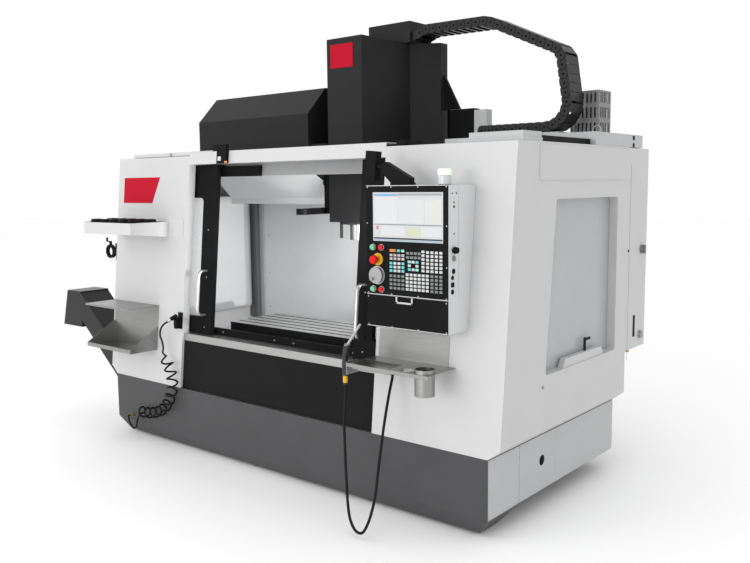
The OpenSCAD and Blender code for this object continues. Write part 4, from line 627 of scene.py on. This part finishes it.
bm = bmesh.new()
x, z = CHAIN_START
deg = CHAIN_START_DEG
for bend in [b for count, b in CHAIN_RUNS for _ in range(count)]:
    deg += bend
    x += LINK_PITCH * math.cos(math.radians(deg))
    z += LINK_PITCH * math.sin(math.radians(deg))
    for y in CHAIN_SIDES:
        add_cyl(bm, (x, y - PIN_PROUD, z), (x, y + PIN_PROUD, z), PIN_R, seg=16, rim=0.3)
        add_loft(bm, lap_shade_strip(x, y, z, deg))
piece("chain_pins_and_lap_shade", CHAIN_LAP_SHADE, bm, "head")

# Screws of the doors, of the base's service covers and of the door track
DOOR_Y, DOOR_SCREW_PROUD = 60.2, 1.8
DOOR_SCREWS = [(660, 1418), (660, 1120), (660, 803), (1000, 765)]
COVER_X, COVER_Y, COVER_Z, COVER_PROUD = 1508, (12, 280), (118, 396), 2.2
COVER_COLS, COVER_ROWS = 6, 5
TRACK_X, TRACK_Y, TRACK_Z, TRACK_PROUD = (-526, -60, 100, 560), 104, 779, 3.5


cover_screws = [(share(COVER_Y, k, COVER_COLS), z) for k in range(COVER_COLS + 1) for z in COVER_Z]
cover_screws += [(y, share(COVER_Z, k, COVER_ROWS)) for k in range(1, COVER_ROWS) for y in COVER_Y]
for side, hand in ((-1, "left"), (1, "right")):
    door_rods = [
        rod
        for x, z in DOOR_SCREWS
        for rod in face_rods([(side * x, z)], DOOR_SCREW_PROUD, 4.2, 3.6, front_y(z) + DOOR_Y)
    ]
    cyls(hand + "_door_screws", SILVER, door_rods, hand + "_door", seg=14, rim=0.4)
    x = side * COVER_X
    cover_rods = [((x, y, z), (x + side * COVER_PROUD, y, z), 5, 4.2) for y, z in cover_screws]
    cyls("cover_screws_" + hand, SILVER, cover_rods, seg=12, rim=0.5)
bolts = face_rods([(x, TRACK_Z) for x in TRACK_X], TRACK_PROUD, 6, 5.4, front_y(TRACK_Z) + TRACK_Y)
cyls("track_bolts", STEEL, bolts, seg=14, rim=0.5)

# Right side: cabinet details, plug and the bracket at the side window
SIDE_X = 1569


def right_rod(y, z, r0, r1, proud):
    return (SIDE_X, y, z), (SIDE_X + proud, y, z), r0, r1


cabinet_slot = [((SIDE_X + 0.5, 1515, 772), (SIDE_X + 2.2, 1545, 902))]
boxes("cabinet_slot", PLASTIC, cabinet_slot, bevel=0.5)
# Dark grey strip on the cabinet's side: painted shade in the vertical seam
cabinet_seam_shade = [((SIDE_X + 0.6, 1437, 640), (SIDE_X + 1.5, 1440, 1792))]
boxes("cabinet_seam_shade", SEAM_SHADE, cabinet_seam_shade, bevel=0)
cyls("cabinet_knob", STEEL, [right_rod(1618, 775, 24, 21, 17)], seg=30, rim=1.5)
cyls("cabinet_screw", PLASTIC, [right_rod(1422, 1293, 8, 7, 4)], rim=0.8)
cyls("cabinet_gland", BRASS, [((1545, 1504, 702), (1545, 1504, 680), 13, 11)], seg=24, rim=1)
cyls("side_plug", STEEL, [right_rod(404, 683, 9, 8, 5)], rim=0.8)
bracket = [((1541, 912, 768), (1549, 932, 856)), ((1541, 932, 838), (1549, 985, 852))]
boxes("window_bracket", PLASTIC, bracket, bevel=1.5)

# Roof: lids, blocks, drive with its gusset, duct, tower, lifting ring and the resistor's elements
ROOF_Z = 1888
DRIVE_X, DRIVE_Y, DRIVE_TOP = (379.4, 566.6), (1335.4, 1400.6), 2170.6
GUSSET = [(332, DRIVE_TOP + 0.2), (455, DRIVE_TOP + 0.2), (332, 2398)]
RING_X, RING_Y, RING_Z, RING_R, RING_WIRE, RING_STEPS = 1400, 1337, 1988, 26, 6, 24
lids = [((-1430, 160, ROOF_Z), (-1030, 400, 1911)), ((-1005, 160, ROOF_Z), (-550, 400, 1913))]
boxes("roof_lids", WHITE, lids, bevel=2)
blocks = [((860, 150, ROOF_Z), (915, 186, 1914)), ((945, 150, ROOF_Z), (1000, 186, 1908))]
boxes("roof_blocks", PLASTIC, blocks, bevel=2)
drive = [((DRIVE_X[0], DRIVE_Y[0], ROOF_Z - 0.5), (DRIVE_X[1], DRIVE_Y[1], DRIVE_TOP))]
boxes("drive_cover", PLASTIC, drive, bevel=1.5)
plate("drive_gusset", PLASTIC, GUSSET, 1340, 1358, face=lambda z: 0)
tower_slots = [((1567.4, 1456, z), (1568.8, 1482, z + 24)) for z in (1889, 1931)]
boxes("tower_slots", PLASTIC, tower_slots, bevel=0.4)
boxes("duct_side", PLASTIC, [((1535.6, 384, ROOF_Z), (1537.2, 958, 1920))], bevel=0.4)
turn = [*round_steps(RING_STEPS), 2 * math.pi]
loop = [(RING_X + RING_R * math.sin(a), RING_Y, RING_Z - RING_R * math.cos(a)) for a in turn]
tube("lifting_ring", STEEL, loop, RING_WIRE)
boxes("resistor_core", RESISTOR_CORE, [((1222, 1409, 1961), (1370, 1537, 2205))], bevel=2)

# Door switch cover on the header, plain
SWITCH_FRONT, SWITCH_BACK, SWITCH_TOP = -26.6, 1, 1944.6
switch = [
    ((-508, SWITCH_FRONT, 1829.4), (-424.4, SWITCH_BACK, SWITCH_TOP)),
    ((-545.6, SWITCH_FRONT, 1904), (-507, SWITCH_BACK, SWITCH_TOP)),
]
boxes("switch_cover", PLASTIC, switch, bevel=1.5, lean=True)
switch_plate = [((-496, SWITCH_FRONT - 1, 1846), (-466, SWITCH_FRONT + 0.6, 1872))]
boxes("switch_plate", WHITE, switch_plate, bevel=0.4, lean=True)
switch_tab = [((-432, SWITCH_FRONT - 1, 1831), (-414, SWITCH_FRONT + 6.6, 1843))]
boxes("switch_tab", KEY_ORANGE, switch_tab, bevel=0.4, lean=True)

# Inside: a plate of painted shade on the header's inner drop, a dark grey block with a lighter strip in the back
# left corner, screws of the back wall
OPENING_X = 798
WALL_Y, CORNER_Z = 1344.4, (640, 1560)
# Grey plate over the header's inner drop: painted shade under the header
shade = [((-OPENING_X, 136.4, 1753), (OPENING_X, 137.9, 1829))]
boxes("header_painted_shade", PAINTED_SHADE, shade, bevel=0, lean=True)
# Dark grey block with a lighter strip beside it, on the left panel's inside face in the back corner
dark_block = [((-1566, 1296, CORNER_Z[0]), (-1468, WALL_Y, CORNER_Z[1]))]
boxes("corner_dark_block", DARK_GREY_BLOCK, dark_block, bevel=2)
strip = [((-1467, 1330, CORNER_Z[0]), (-1424, WALL_Y, CORNER_Z[1]))]
boxes("corner_strip", LIGHT, strip, bevel=0.6)
wall_screws = face_rods([(-1372, z) for z in (730, 1000, 1300)], 4, 7, 6, 1345)
cyls("wall_screws", SILVER, wall_screws, seg=14, rim=0.5)

# Vise front plate, air gun sleeve and wash gun collar
boxes("vise_plate", PLASTIC, [((-1612, 98, 1184), (-1570.5, 118, 1302))], bevel=3)
cyls("gun_sleeve", SILVER, [((-846, -13.2, 852.6), (-868, -24, 836.9), 9.9)], rim=0.8)
cyls("gun_collar", YELLOW, [((760, -153, 700), (760, -153, 738), 11.8, 12.4)], seg=24, rim=1)

# Floor and light
FLOOR_SIZE = 40
bm = bmesh.new()
bmesh.ops.create_grid(bm, x_segments=1, y_segments=1, size=FLOOR_SIZE)
floor_mesh = bpy.data.meshes.new("floor")
bm.to_mesh(floor_mesh)
bm.free()
floor_mesh.materials.append(make("floor_pale", (0.99, 0.99, 0.99), rough=0.8, var=0.0, bump=0.0, edge=0))
floor = bpy.data.objects.new("floor", floor_mesh)
scene.collection.objects.link(floor)

world = bpy.data.worlds.new("world")
scene.world = world
world.use_nodes = True
sky = world.node_tree.nodes["Background"]
sky.inputs["Color"].default_value = (1, 1, 1, 1)
sky.inputs["Strength"].default_value = 1.0


def area(name, pos, target, size, power, spread=180):
    """Area light at a point in metres, aimed at another; its spread is in degrees."""
    la = bpy.data.lights.new(name, "AREA")
    la.shape = "RECTANGLE"
    la.size, la.size_y = size
    la.energy = power
    la.spread = math.radians(spread)
    o = bpy.data.objects.new(name, la)
    o.location = pos
    o.rotation_euler = (Vector(target) - Vector(pos)).to_track_quat("-Z", "Y").to_euler()
    scene.collection.objects.link(o)


area("key", (-3.5, -8.0, 4.5), (0, 0, 1.2), (5, 4), 110)
area("front", (0.9, -7.2, 1.7), (0.3, 0, 1.2), (3, 2), 120)
area("top", (0.5, -0.5, 7.0), (0.3, 0, 0), (6, 5), 25)
area("inside", at(830, 330, 1400), at(-1300, 760, 1150), (0.5, 0.5), 9, 80)
scene.view_settings.view_transform = "Standard"
